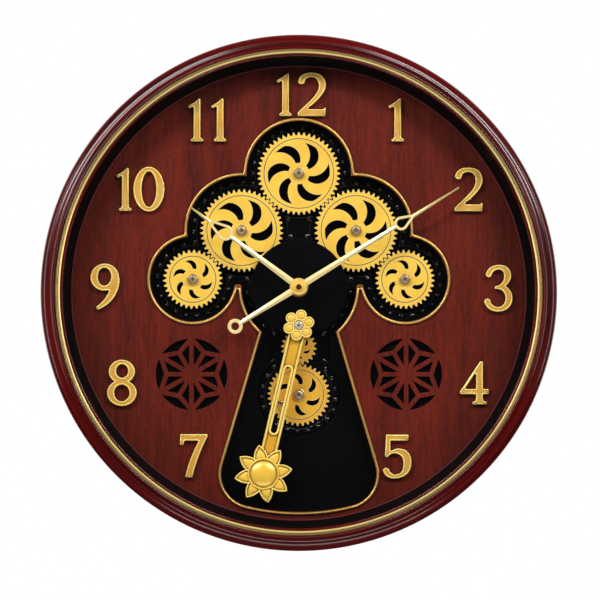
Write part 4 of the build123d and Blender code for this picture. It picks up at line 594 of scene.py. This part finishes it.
def platings():
    """Bright and deep colour, roughness and metal share of each plated finish, then what it has of its own.

    That is the colour of its edges, where worn polish and a painted highlight lie, whether painted shade
    falls only in its own grooves, how open a spot must be to stay free of that shade, and how wide its edges
    are worn and painted bright.
    """
    colours = looks()[0]
    trim = Vector(colours.trim_highlight_gold)
    foot = Vector(colours.trim_shade_gold)
    washer = Vector(colours.washer)
    steel = Vector(colours.steel)
    brass = Vector(colours.brass)
    return {
        "gear_gold": (colours.gear_gold, colours.gear_deep, 0.34, 0.12, colours.plating),
        # Painted shade: the crank and motor gears get a darker copy of the gear gold, as if in shadow.
        "shaded_low_gold": (colours.gear_deep, colours.arm_deep, 0.34, 0.12, colours.plating),
        "pendulum_gold": (colours.gear_deep, colours.arm_deep, 0.24, 0.15, colours.rim_highlight_gold, False, 1.0),
        "sun_gold": (colours.gear_gold, colours.gear_deep, 0.2, 0.15, colours.rim_highlight_gold, False, 1.0),
        # Painted highlight: the paler gold of beads and rims.
        "rim_highlight_gold": (colours.rim_highlight_gold, colours.gear_gold, 0.2, 0.15),
        # Painted highlight on the trim's bead and painted shade on its foot.
        "trim_highlight_gold": (trim, 0.8 * trim, 0.2, 0.7),
        "trim_foot": (foot, 0.7 * foot, 0.24, 0.6, None, False),
        "washer_brass": (washer, 0.8 * washer, 0.16, 0.65, None, False),
        "gear_screw": (0.5 * (steel + brass), 0.5 * brass, 0.14, 0.7, steel, False, 0.92, 1.3),
        "screw_steel": (steel, 0.7 * steel, 0.2, 0.5, None, False),
        "arbor_brass": (brass, 0.7 * brass, 0.24, 1.0),
        "coil_copper": (COPPER, COPPER_DEEP, 0.3, 1.0),
        "motor_steel": (MOTOR_GREY, MOTOR_DEEP, 0.34, 1.0),
        "hanger_steel": (HANGER_GREY, HANGER_DEEP, 0.3, 1.0),
    }


MADE_FINISHES = {}


def finish(name):
    """The named finish, made once."""
    if name not in MADE_FINISHES:
        if name in OWN_FINISHES:
            made = OWN_FINISHES[name]()
        elif name in plastics():
            made = moulded(name, *plastics()[name])
        else:
            made = plating(name, *platings()[name])
        MADE_FINISHES[name] = made
    return MADE_FINISHES[name]


def body_of(node):
    """Name of the body that a CAD node rides on."""
    parent = frame["nodes"][node].parent
    return next(name for name, empty in frame["bodies"].items() if empty == parent)


def settle(piece, body, slot, coat=None):
    """Put a made piece into the scene, on its body and with its slot's finish or a coat of its own."""
    if piece.name not in bpy.context.scene.collection.all_objects:
        bpy.context.scene.collection.objects.link(piece)
    piece.data.materials.clear()
    piece.data.materials.append(finish(coat or slot))
    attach(piece, body)
    return piece


def smoothed(node, slot, crease=32.0, coat=None):
    """Merged copy of a CAD node with smooth round faces, standing for that node."""
    solid = frame["nodes"][node].data
    mesh = bpy.data.meshes.new(node + "_finished")
    corners = [corner.co for corner in solid.vertices]
    mesh.from_pydata(corners, [], [face.vertices[:] for face in solid.polygons])
    work = bmesh.new()
    work.from_mesh(mesh)
    bmesh.ops.remove_doubles(work, verts=work.verts, dist=1e-6)
    work.to_mesh(mesh)
    work.free()
    mesh.shade_smooth()
    mesh.set_sharp_from_angle(angle=radians(crease))
    piece = bpy.data.objects.new(node + "_finished", mesh)
    settle(piece, body_of(node), slot, coat)
    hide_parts(node)
    return piece


def respun(piece, shown=lambda spot: True, steps=360):
    """Redraw from its section the shown part of a spun ring, with even facets all the way round."""
    work = bmesh.new()
    work.from_mesh(piece.data)
    work.normal_update()
    old = [face for face in work.faces if all(shown(corner.co) for corner in face.verts)]
    section = {}
    for face in old:
        for edge in face.edges:
            if all(abs(corner.co.z) < 1e-6 and corner.co.x > 0 for corner in edge.verts):
                section[edge] = face.normal.copy()
    strips = [([corner.co.copy() for corner in edge.verts], normal) for edge, normal in section.items()]
    bmesh.ops.delete(work, geom=old, context="FACES")
    turns = [Matrix.Rotation(2 * pi * step / steps, 3, "Y") for step in range(steps)]
    for ends, normal in strips:
        first, last = ends
        if (last - first).cross(Vector((0, 0, -1))).dot(normal) < 0:
            first, last = last, first
        rows = [(work.verts.new(turn @ first), work.verts.new(turn @ last)) for turn in turns]
        for row, after in zip(rows, rows[1:] + rows[:1]):
            work.faces.new((row[0], row[1], after[1], after[0])).smooth = True
    bmesh.ops.remove_doubles(work, verts=work.verts, dist=1e-6)
    work.to_mesh(piece.data)
    work.free()
    return piece


def ring_of(spot):
    """Radius and depth of a spot, to a hundredth of a millimetre."""
    return round(hypot(spot.x, spot.z), 5), round(spot.y, 5)


def spun_normals(piece, crease=40.0, square=0.995):
    """Give a ring that was spun about the clock's axis the same normals all the way round."""
    mesh = piece.data
    turns = []
    rings = {}
    for face in mesh.polygons:
        angle = atan2(face.center.z, face.center.x)
        outward = face.normal.x * cos(angle) + face.normal.z * sin(angle)
        spun = hypot(outward, face.normal.y) > square
        turn = round(degrees(atan2(face.normal.y, outward)))
        turns.append(turn if spun else None)
        if spun:
            for corner in face.vertices:
                ring = rings.setdefault(ring_of(mesh.vertices[corner].co), {})
                total = ring.setdefault(turn, Vector((0.0, 0.0)))
                total += face.area * Vector((outward, face.normal.y))
    normals = []
    for face, turn in zip(mesh.polygons, turns):
        for corner in face.vertices:
            normal = Vector((0.0, 0.0, 0.0))
            if turn is not None:
                spot = mesh.vertices[corner].co
                ring = rings[ring_of(spot)]
                near = [ring[other] for other in ring if abs((other - turn + 180) % 360 - 180) < crease]
                slope = sum(near, Vector((0.0, 0.0))).normalized()
                angle = atan2(spot.z, spot.x)
                normal = Vector((slope.x * cos(angle), slope.y, slope.x * sin(angle)))
            normals.append(normal)
    mesh.normals_split_custom_set(normals)


def inner_radius(node):
    """Smallest distance of a ring's surface from the clock's axis."""
    return min(hypot(corner.co.x, corner.co.z) for corner in frame["nodes"][node].data.vertices)


def painted(node, slot):
    """Give a CAD node that keeps its own mesh its slot's finish."""
    for held in frame["nodes"][node].material_slots:
        held.material = finish(slot)


def axis_of(node):
    """Centre of a CAD node across the dial, as x and z."""
    low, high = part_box(node)
    return (low[0] + high[0]) / 2, (low[2] + high[2]) / 2


def front_of(node):
    """The y of a CAD node's front."""
    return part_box(node)[0][1]


def arcs_outside(circles, clipped):
    """Runs of points along the circles that lie outside all the other circles and aren't clipped."""
    runs = []
    steps = 240
    for number, (centre, radius) in enumerate(circles):
        others = circles[:number] + circles[number + 1:]
        run = []
        points = []
        for step in range(steps):
            angle = 2 * pi * step / steps + pi / 4
            point = centre[0] + radius * cos(angle), centre[1] + radius * sin(angle)
            covered = any(hypot(point[0] - x, point[1] - z) < reach for (x, z), reach in others)
            points.append(None if covered or clipped(number, point) else point)
        for point in points + [None]:
            if point is not None:
                run.append(point)
            elif run:
                runs.append(run)
                run = []
    return [run for run in runs if len(run) > 3]


def front_loops(piece):
    """Closed runs of points round the flat front of a piece, and the depth of that front."""
    work = bmesh.new()
    work.from_mesh(piece.data)
    level = min(corner.co.y for corner in work.verts)
    front = {face for face in work.faces if max(corner.co.y for corner in face.verts) < level + 1e-5}
    ahead = {}
    for face in front:
        for side in face.loops:
            if len([near for near in side.edge.link_faces if near in front]) == 1:
                ahead[side.vert] = side.link_loop_next.vert
    runs = []
    while ahead:
        first, here = ahead.popitem()
        run = [first]
        while here != first:
            run.append(here)
            here = ahead.pop(here)
        runs.append([(corner.co.x, corner.co.z) for corner in run])
    work.free()
    return runs, level


def middle_line(runs):
    """Points half way between two closed runs of points."""
    inner, outer = sorted(runs, key=len)
    inner = [Vector(point) for point in inner]
    outer = [Vector(point) for point in outer]
    sides = list(zip(outer, outer[1:] + outer[:1]))
    half_way = []
    for point in inner:
        feet = []
        for start, end in sides:
            foot, share = intersect_point_line(point, start, end)
            feet.append(start.lerp(end, min(max(share, 0.0), 1.0)))
        nearest = min(feet, key=lambda foot: (foot - point).length)
        half_way.append((point + nearest) / 2)
    return half_way


def bent(first, middle, last, steps=12):
    """Points along the round arc through three points."""
    a, b, c = Vector(first), Vector(middle), Vector(last)
    spread = 2 * (a - c).cross(b - c)
    toward = ((a - c).length_squared * (b - c) - (b - c).length_squared * (a - c)) / spread
    centre = c + Vector((toward.y, -toward.x))
    radius = (a - centre).length
    start = atan2(a.y - centre.y, a.x - centre.x)
    sweep = (atan2(c.y - centre.y, c.x - centre.x) - start) % (2 * pi)
    if (b - a).cross(c - a) < 0:
        sweep -= 2 * pi
    angles = [start + sweep * step / steps for step in range(steps + 1)]
    return [(centre.x + radius * cos(angle), centre.y + radius * sin(angle)) for angle in angles]


def circle(centre, radius, steps=28):
    """Points round a circle."""
    angles = [2 * pi * step / steps for step in range(steps)]
    return [(centre[0] + radius * cos(angle), centre[1] + radius * sin(angle)) for angle in angles]


def turned(points, angle, centre):
    """Points turned about the origin and moved to a centre."""
    across = [centre[0] + x * cos(angle) - z * sin(angle) for x, z in points]
    upward = [centre[1] + x * sin(angle) + z * cos(angle) for x, z in points]
    return list(zip(across, upward))


def path_curve(name, runs, depth, closed=False):
    """Curve object with one spline for each run of points, at one depth."""
    data = bpy.data.curves.new(name, "CURVE")
    data.dimensions = "3D"
    for run in runs:
        spline = data.splines.new("POLY")
        spline.use_cyclic_u = closed
        spline.points.add(len(run) - 1)
        for held, (x, z) in zip(spline.points, run):
            held.co = (x, depth, z, 1)
    return bpy.data.objects.new(name, data)


def new_tree(name, source, **inputs):
    """New Geometry Nodes tree: the identifiers of its inputs, and its source and inputs as sockets."""
    tree = bpy.data.node_groups.new(name, "GeometryNodeTree")
    tree.interface.new_socket(source, in_out="INPUT", socket_type="NodeSocketGeometry")
    tree.interface.new_socket("Mesh", in_out="OUTPUT", socket_type="NodeSocketGeometry")
    names = {}
    for key, kind in inputs.items():
        made = tree.interface.new_socket(key, in_out="INPUT", socket_type="NodeSocket" + kind)
        names[key] = made.identifier
    inside = tree.nodes.new("NodeGroupInput")
    return names, [Shade(tree, inside.outputs[key]) for key in (source, *inputs)]


def closed_tree(names, shape, coat):
    """Finished tree: the shape that it has made as one smooth mesh with a finish."""
    shape = shape.node("GeometryNodeRealizeInstances", {}, {"Geometry": shape})
    shape = shape.node("GeometryNodeSetShadeSmooth", {}, {"Geometry": shape})
    shape = shape.node("GeometryNodeSetMaterial", {}, {"Geometry": shape, "Material": coat})
    shape.tree.links.new(shape.socket, shape.tree.nodes.new("NodeGroupOutput").inputs["Mesh"])
    return shape.tree, names


def stud_tree():
    """Geometry Nodes: flattened domes along a path."""
    kinds = {"Pitch": "Float", "Radius": "Float", "Flatness": "Float", "Finish": "Material"}
    names, (path, pitch, radius, flatness, coat) = new_tree("studded_track", "Path", **kinds)
    sockets = {"Curve": path, "Length": pitch}
    spots = path.node("GeometryNodeCurveToPoints", {"mode": "LENGTH"}, sockets, "Points")
    dome = path.node("GeometryNodeMeshUVSphere", {}, {"Segments": 12, "Rings": 6, "Radius": radius}, "Mesh")
    flat = path.node("ShaderNodeCombineXYZ", {}, {"X": 1.0, "Y": flatness, "Z": 1.0})
    stud = path.node("GeometryNodeTransform", {}, {"Geometry": dome, "Scale": flat})
    placed = path.node("GeometryNodeInstanceOnPoints", {}, {"Points": spots, "Instance": stud})
    return closed_tree(names, placed, coat)


def line_tree():
    """Geometry Nodes: a round wire along a path."""
    names, (path, radius, coat) = new_tree("track_line", "Path", Radius="Float", Finish="Material")
    section = path.node("GeometryNodeCurvePrimitiveCircle", {}, {"Resolution": 8, "Radius": radius})
    sockets = {"Curve": path, "Profile Curve": section, "Fill Caps": True}
    return closed_tree(names, path.node("GeometryNodeCurveToMesh", {}, sockets), coat)


def ring_tree():
    """Geometry Nodes: copies of a piece, turned evenly about the y axis."""
    names, (piece, count, coat) = new_tree("turned_ring", "Piece", Count="Int", Finish="Material")
    spots = piece.node("GeometryNodePoints", {}, {"Count": count})
    number = piece.node("GeometryNodeInputIndex", {}, {})
    angle = piece.maths("DIVIDE", number, count) * (2 * pi)
    about = piece.node("ShaderNodeCombineXYZ", {}, {"Y": angle})
    turn = piece.node("FunctionNodeEulerToRotation", {}, {"Euler": about})
    sockets = {"Points": spots, "Instance": piece, "Rotation": turn}
    return closed_tree(names, piece.node("GeometryNodeInstanceOnPoints", {}, sockets), coat)


def pillow(name, outline, height, rings=6):
    """Domed pillow that fills an outline in the dial's plane and bulges towards the viewer."""
    middle_x = sum(x for x, z in outline) / len(outline)
    middle_z = sum(z for x, z in outline) / len(outline)
    points = []
    faces = []
    count = len(outline)
    for ring in range(rings):
        share = cos(pi / 2 * ring / rings)
        bulge = -height * sin(pi / 2 * ring / rings)
        for x, z in outline:
            points.append((middle_x + share * (x - middle_x), bulge, middle_z + share * (z - middle_z)))
    points.append((middle_x, -height, middle_z))
    for ring in range(rings - 1):
        for step in range(count):
            here = ring * count + step
            ahead = ring * count + (step + 1) % count
            faces.append((here, ahead, ahead + count, here + count))
    last = (rings - 1) * count
    faces += [(last + step, last + (step + 1) % count, rings * count) for step in range(count)]
    faces.append(tuple(range(count))[::-1])
    mesh = bpy.data.meshes.new(name)
    mesh.from_pydata(points, [], faces)
    work = bmesh.new()
    work.from_mesh(mesh)
    bmesh.ops.recalc_face_normals(work, faces=work.faces)
    work.to_mesh(mesh)
    work.free()
    return bpy.data.objects.new(name, mesh)


def grown(name, source, tree, values, body, slot, coat, place=Matrix()):
    """Run a Geometry Nodes tree on a source object and keep the result as a plain mesh piece in its place."""
    group, names = tree
    scene = bpy.context.scene
    scene.collection.objects.link(source)
    modifier = source.modifiers.new("grown", "NODES")
    modifier.node_group = group
    for key, value in values.items():
        modifier[names[key]] = value
    modifier[names["Finish"]] = finish(coat)
    evaluated = source.evaluated_get(bpy.context.evaluated_depsgraph_get())
    mesh = bpy.data.meshes.new_from_object(evaluated)
    mesh.name = name
    source.modifiers.remove(modifier)
    bpy.data.objects.remove(source)
    mesh.transform(place)
    return settle(bpy.data.objects.new(name, mesh), body, slot, coat)


def wired(name, runs, depth, radius, body, slot, coat, closed=True):
    """Round wires along runs of points at one depth, kept as one piece."""
    path = path_curve(name + "_path", runs, depth, closed)
    return grown(name, path, line_tree(), {"Radius": radius}, body, slot, coat)


class GEARCLOCK_OT_case(bpy.types.Operator):
    """Finish the case ring, the gold ring, the inner ring and the lens"""

    bl_idname = "gearclock.case"
    bl_label = "Case and Rings"

    def execute(self, context):
        sizes = context.scene.gear_clock_sizes

        def plain_all_round(spot):
            """Whether a spot of the case lies before its bosses or on its side bead."""
            on_side_bead = spot.y < -sizes.side_bead and spot.xz.length > sizes.side_radius
            return spot.y < -sizes.boss_level or on_side_bead

        spun_normals(respun(smoothed("case_ring", "case_gloss"), plain_all_round))
        spun_normals(respun(smoothed("gold_ring", "gold_plating", coat="reeded_gold")))
        spun_normals(respun(smoothed("inner_ring", "ring_black", coat="beaded_ring")))
        smoothed("front_lens", "lens")
        return {"FINISHED"}


class GEARCLOCK_OT_dial(bpy.types.Operator):
    """Finish the dial plate, the trim of its opening and the grille backings"""

    bl_idname = "gearclock.dial"
    bl_label = "Dial"

    def execute(self, context):
        smoothed("dial_plate", "dial_wood")
        sizes = context.scene.gear_clock_sizes
        # The trim's bead takes the lighter gold as a painted highlight; its foot the darker one as painted
        # shade.
        runs, level = front_loops(smoothed("opening_trim", "gold_plating", coat="trim_foot"))
        depth = level + sizes.trim_sink
        gilt = ("clock_case", "gold_plating", "trim_highlight_gold")
        wired("trim_bead", [middle_line(runs)], depth, sizes.trim_bead, *gilt)
        for node in ("left_grille_backing", "right_grille_backing"):
            painted(node, "pan_black")
        return {"FINISHED"}


class GEARCLOCK_OT_numerals(bpy.types.Operator):
    """Finish the raised numerals"""

    bl_idname = "gearclock.numerals"
    bl_label = "Numerals"

    def execute(self, context):
        sizes = context.scene.gear_clock_sizes
        rims = []
        for node in NUMERALS:
            runs, level = front_loops(smoothed(node, "gold_plating"))
            rims += runs
        # The numerals' rims take the paler gold as a painted highlight.
        wired("numeral_rims", rims, level, sizes.numeral_rim, "clock_case", "gold_plating", "rim_highlight_gold")
        return {"FINISHED"}


class GEARCLOCK_OT_pan(bpy.types.Operator):
    """Finish the black gear pan and its disc, and mould the studded track along the opening"""

    bl_idname = "gearclock.pan"
    bl_label = "Gear Pan"

    def execute(self, context):
        sizes = context.scene.gear_clock_sizes
        smoothed("gear_pan", "pan_black")
        smoothed("centre_disc", "pan_black")
        painted("pan_screws", "screw_steel")
        hub = axis_of("centre_disc")
        lobes = [
            (axis_of("top_gear"), sizes.top_lobe),
            (axis_of("left_gear"), sizes.side_lobe),
            (axis_of("right_gear"), sizes.side_lobe),
            (axis_of("left_small_gear"), sizes.small_lobe),
            (axis_of("right_small_gear"), sizes.small_lobe),
            (hub, sizes.hub_lobe),
        ]
        crank = axis_of("crank_gear")

        def below_neck(number, point):
            """Whether a point of the hub's lobe lies in the neck, where the pendulum hangs."""
            return lobes[number][0] == hub and abs(point[0]) < sizes.neck and point[1] < hub[1]

        def above_neck(number, point):
            """Whether a point round the crank gear lies in the neck."""
            return abs(point[0]) < sizes.neck and point[1] > crank[1]

        studs = arcs_outside([(c, r - sizes.stud_inset) for c, r in lobes], below_neck)
        studs += arcs_outside([(crank, sizes.crank_track)], above_neck)
        lines = arcs_outside([(c, r - sizes.line_inset) for c, r in lobes], below_neck)
        lines += arcs_outside([(crank, sizes.crank_track - sizes.track_half)], above_neck)
        lines += arcs_outside([(crank, sizes.crank_track + 2 * sizes.track_half)], above_neck)
        flatness = sizes.stud_height / sizes.stud_radius
        values = {"Pitch": sizes.stud_pitch, "Radius": sizes.stud_radius, "Flatness": flatness}
        floor = -sizes.pan_floor
        gloss = ("clock_case", "pan_black", "stud_black")
        grown("pan_studs", path_curve("stud_path", studs, floor), stud_tree(), values, *gloss)
        wired("pan_lines", lines, floor, sizes.track_line, *gloss, closed=False)
        return {"FINISHED"}


class GEARCLOCK_OT_gears(bpy.types.Operator):
    """Finish the gears with their washers and screws"""

    bl_idname = "gearclock.gears"
    bl_label = "Gears"

    def execute(self, context):
        for node in GEARS:
            smoothed(node, "gear_gold")
        for node in ("crank_gear", "motor_gear"):
            # Painted shade: these two low gears take the darker gold.
            smoothed(node, "gear_gold", coat="shaded_low_gold")
        smoothed("gear_washers", "washer_brass")
        smoothed("gear_screws", "screw_steel", coat="gear_screw")
        return {"FINISHED"}


class GEARCLOCK_OT_pendulum(bpy.types.Operator):
    """Finish the pendulum with its rosette and sun, its pivot screw and the crank pin"""

    bl_idname = "gearclock.pendulum"
    bl_label = "Pendulum"

    def execute(self, context):
        sizes = context.scene.gear_clock_sizes
        smoothed("pendulum_arm", "gear_gold", coat="pendulum_gold")
        smoothed("pendulum_rosette", "gear_gold", coat="pendulum_gold")
        smoothed("pendulum_sun", "gear_gold", coat="sun_gold")
        pivot = axis_of("pivot_screw")
        sun = axis_of("pendulum_sun")
        lean = atan2(sun[1] - pivot[1], sun[0] - pivot[0])
        run = hypot(sun[0] - pivot[0], sun[1] - pivot[1])
        # Beads and rims take the paler gold as a painted highlight.
        rim_highlight_gold = ("pendulum_body", "gear_gold", "rim_highlight_gold")
        face_gold = ("pendulum_body", "gear_gold", "gear_gold")

        side = sizes.arm_bead
        edges = [turned([(0, across), (run, across)], lean, pivot) for across in (side, -side)]
        arm_front = front_of("pendulum_arm") + sizes.bead_sink
        wired("arm_beads", edges, arm_front, sizes.bead, *rim_highlight_gold, closed=False)
        half = sizes.slot_bead
        ends = bent((sizes.slot_from, half), (sizes.slot_from - half, 0), (sizes.slot_from, -half))
        ends += bent((sizes.slot_to, -half), (sizes.slot_to + half, 0), (sizes.slot_to, half))
        wired("slot_bead", [turned(ends, lean, pivot)], arm_front, sizes.bead, *rim_highlight_gold)

        front = front_of("pendulum_rosette")
        reach = sizes.rosette_reach
        petal = circle((reach, 0), sizes.petal_ring)
        rings = [turned(circle((0, 0), sizes.centre_ring), lean, pivot)]
        for step in range(ROSETTE_PETALS):
            rings.append(turned(petal, lean + step * 2 * pi / ROSETTE_PETALS, pivot))
        wired("rosette_rims", rings, front, sizes.fine_bead, *rim_highlight_gold)
        source = pillow("petal_dome", circle((reach, 0), sizes.petal_dome), sizes.belly)
        place = Matrix.Translation((pivot[0], front, pivot[1])) @ Matrix.Rotation(pi - lean, 4, "Y")
        grown("rosette_domes", source, ring_tree(), {"Count": ROSETTE_PETALS}, *face_gold, place)

        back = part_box("pendulum_sun")[1][1]
        wide = sizes.leaf_base, sizes.leaf_half
        bulge = sizes.leaf_middle, sizes.leaf_side
        tip = sizes.leaf_tip, 0.0
        rim = bent(wide, bulge, tip) + bent(tip, (bulge[0], -bulge[1]), (wide[0], -wide[1]))[1:]
        half_step = pi / SUN_PETALS
        rims = [turned(rim, lean + (2 * step + 1) * half_step, sun) for step in range(SUN_PETALS)]
        wired("sun_rims", rims, back - sizes.sun_petal, sizes.fine_bead, *rim_highlight_gold, closed=False)
        inner = [(x - sizes.belly_pull * (x - sizes.sun_rim), sizes.belly_width * z) for x, z in rim]
        source = pillow("petal_belly", inner, sizes.belly)
        foot = Matrix.Translation((sun[0], back - sizes.sun_floor, sun[1]))
        place = foot @ Matrix.Rotation(-lean - half_step, 4, "Y")
        grown("sun_bellies", source, ring_tree(), {"Count": SUN_PETALS}, *face_gold, place)
        smoothed("pivot_screw", "screw_steel")
        smoothed("crank_pin", "screw_steel", coat="gear_screw")
        return {"FINISHED"}


class GEARCLOCK_OT_hands(bpy.types.Operator):
    """Finish the hands, their cap nut and the shafts that carry them"""

    bl_idname = "gearclock.hands"
    bl_label = "Hands"

    def execute(self, context):
        for node in ("hour_hand", "minute_hand"):
            smoothed(node, "hand_gold")
        smoothed("hand_cap_nut", "arbor_brass", coat="hub_metal")
        for node in ("hour_tube", "minute_arbor", "movement_nut", "movement_washer"):
            smoothed(node, "arbor_brass")
        return {"FINISHED"}


class GEARCLOCK_OT_works(bpy.types.Operator):
    """Finish the quartz movement and the drive unit"""

    bl_idname = "gearclock.works"
    bl_label = "Movement and Drive"

    def execute(self, context):
        for node in ("movement_front", "movement_back", "drive_housing", "drive_cover", "set_knob"):
            smoothed(node, "shell_black")
        painted("motion_wheel", "motion_white")
        painted("movement_coil", "coil_copper")
        for node in ("movement_battery", "drive_battery"):
            painted(node, "battery_skin")
        painted("gear_motor", "motor_steel")
        painted("drive_shaft", "screw_steel")
        painted("drive_screws", "screw_steel")
        return {"FINISHED"}


class GEARCLOCK_OT_back(bpy.types.Operator):
    """Finish the back cover, its screws and the hanger"""

    bl_idname = "gearclock.back"
    bl_label = "Back and Hanger"

    def execute(self, context):
        smoothed("back_cover", "cover_plastic")
        smoothed("hanger_plate", "hanger_steel")
        smoothed("case_screws", "screw_steel")
        smoothed("hanger_screws", "screw_steel")
        return {"FINISHED"}


def plain_sheet(name, half, first, last, material):
    """Flat stage surface of half a width to each side, between two lines across given by their y and z."""
    mesh = bpy.data.meshes.new(name)
    corners = [(-half, *first), (half, *first), (half, *last), (-half, *last)]
    mesh.from_pydata(corners, [], [(0, 1, 2, 3)])
    mesh.materials.append(material)
    sheet = bpy.data.objects.new(name, mesh)
    bpy.context.scene.collection.objects.link(sheet)


def softbox(name, place, aim, size, watts, roll=0.0):
    """Rectangular area lamp that points at a spot, rolled about its own axis."""
    lamp = bpy.data.lights.new(name, "AREA")
    lamp.shape = "RECTANGLE"
    lamp.size, lamp.size_y = size
    lamp.energy = watts
    stand = bpy.data.objects.new(name, lamp)
    stand.location = place
    turn = (Vector(aim) - Vector(place)).to_track_quat("-Z", "Y") @ Quaternion((0, 0, 1), roll)
    stand.rotation_euler = turn.to_euler()
    bpy.context.scene.collection.objects.link(stand)


def stage_sheets(stage):
    """Pale floor, dark in reflections, and a backdrop that is plain white wherever it is seen."""
    front_edge = (-stage.floor_front, -stage.floor_drop)
    back_edge = (stage.backdrop, -stage.floor_drop)
    top_edge = (stage.backdrop, stage.backdrop_top)

    pale, start = shader_of("stage_floor", Roughness=0.8)
    grain = start.noise(start.place(), 8, 3)
    mirrored = start.node("ShaderNodeLightPath", {}, {}, "Is Glossy Ray")
    plain = grain.mix((0.84, 0.84, 0.84), (0.9, 0.9, 0.9))
    feed(pale, Base_Color=mirrored.mix(plain, (0.05, 0.05, 0.05)))
    plain_sheet("floor", stage.floor_half, front_edge, back_edge, pale)

    white, start = shader_of("stage_backdrop", Roughness=0.8, Base_Color=(0.9, 0.9, 0.9, 1))
    kinds = ("Is Camera Ray", "Is Glossy Ray", "Is Transmission Ray")
    camera, glossy, through = [start.node("ShaderNodeLightPath", {}, {}, kind) for kind in kinds]
    seen = (camera + glossy + through).between(0.0, 1.0)
    glow = start.node("ShaderNodeEmission", {}, {"Color": (1, 1, 1, 1), "Strength": 1.0})
    show_both(seen, start, glow)
    plain_sheet("backdrop", stage.floor_half, back_edge, top_edge, white)


class GEARCLOCK_OT_stage(bpy.types.Operator):
    """Set the pale floor and backdrop, the studio lamps and the camera"""

    bl_idname = "gearclock.stage"
    bl_label = "Stage"

    def execute(self, context):
        scene = context.scene
        stage = scene.gear_clock_stage
        scene.view_settings.view_transform = "Standard"
        stage_sheets(stage)

        world = bpy.data.worlds.new("studio")
        world.use_nodes = True
        room = world.node_tree.nodes["Background"]
        room.inputs["Color"].default_value = (1, 1, 1, 1)
        room.inputs["Strength"].default_value = stage.room
        scene.world = world

        x, y, z = stage.key_place
        softbox("left_lamp", (-x, y, z), stage.lit, stage.key_size, stage.key, stage.roll)
        softbox("right_lamp", (x, y, z), stage.lit, stage.key_size, stage.key, -stage.roll)
        softbox("low_lamp", stage.fill_place, stage.lit, stage.fill_size, stage.fill)
        x, y, z = stage.strip_place
        softbox("left_strip", (-x, y, z), stage.lit, stage.strip_size, stage.strip)
        softbox("right_strip", (x, y, z), stage.lit, stage.strip_size, stage.strip)

        camera = bpy.data.cameras.new("camera")
        camera.lens = camera.sensor_width * stage.distance / stage.frame_width
        stand = bpy.data.objects.new("camera", camera)
        away = Vector((0, -cos(stage.elevation), sin(stage.elevation)))
        stand.location = Vector(stage.aim) + stage.distance * away
        stand.rotation_euler = (-away).to_track_quat("-Z", "Y").to_euler()
        scene.collection.objects.link(stand)
        scene.camera = stand
        return {"FINISHED"}


OPERATORS = [
    GEARCLOCK_OT_case,
    GEARCLOCK_OT_dial,
    GEARCLOCK_OT_numerals,
    GEARCLOCK_OT_pan,
    GEARCLOCK_OT_gears,
    GEARCLOCK_OT_pendulum,
    GEARCLOCK_OT_hands,
    GEARCLOCK_OT_works,
    GEARCLOCK_OT_back,
    GEARCLOCK_OT_stage,
]


class GEARCLOCK_PT_panel(bpy.types.Panel):
    """Lists the steps that finish the clock, and its sizes, colours and stage"""

    bl_idname = "GEARCLOCK_PT_panel"
    bl_label = "Gear Clock"
    bl_space_type = "VIEW_3D"
    bl_region_type = "UI"
    bl_category = "Gear Clock"

    def draw(self, context):
        layout = self.layout
        for operator in OPERATORS:
            layout.operator(operator.bl_idname, text=operator.bl_label)
        for held in GROUPS:
            group = getattr(context.scene, held)
            box = layout.box()
            for name in group.__annotations__:
                box.prop(group, name)


GROUPS = {
    "gear_clock_sizes": GearClockSizes,
    "gear_clock_colours": GearClockColours,
    "gear_clock_stage": GearClockStage,
}


def register():
    """Make the add-on's classes and properties known."""
    for group in GROUPS.values():
        bpy.utils.register_class(group)
    for name, group in GROUPS.items():
        setattr(bpy.types.Scene, name, PointerProperty(type=group))
    for made in OPERATORS + [GEARCLOCK_PT_panel]:
        bpy.utils.register_class(made)


def unregister():
    """Take the add-on's classes and properties away."""
    for made in [GEARCLOCK_PT_panel] + OPERATORS[::-1]:
        bpy.utils.unregister_class(made)
    for name in GROUPS:
        delattr(bpy.types.Scene, name)
    for group in GROUPS.values():
        bpy.utils.unregister_class(group)


def main():
    """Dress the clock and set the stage."""
    register()
    for operator in OPERATORS:
        family, name = operator.bl_idname.split(".")
        getattr(getattr(bpy.ops, family), name)()


if __name__ == "__main__":
    main()
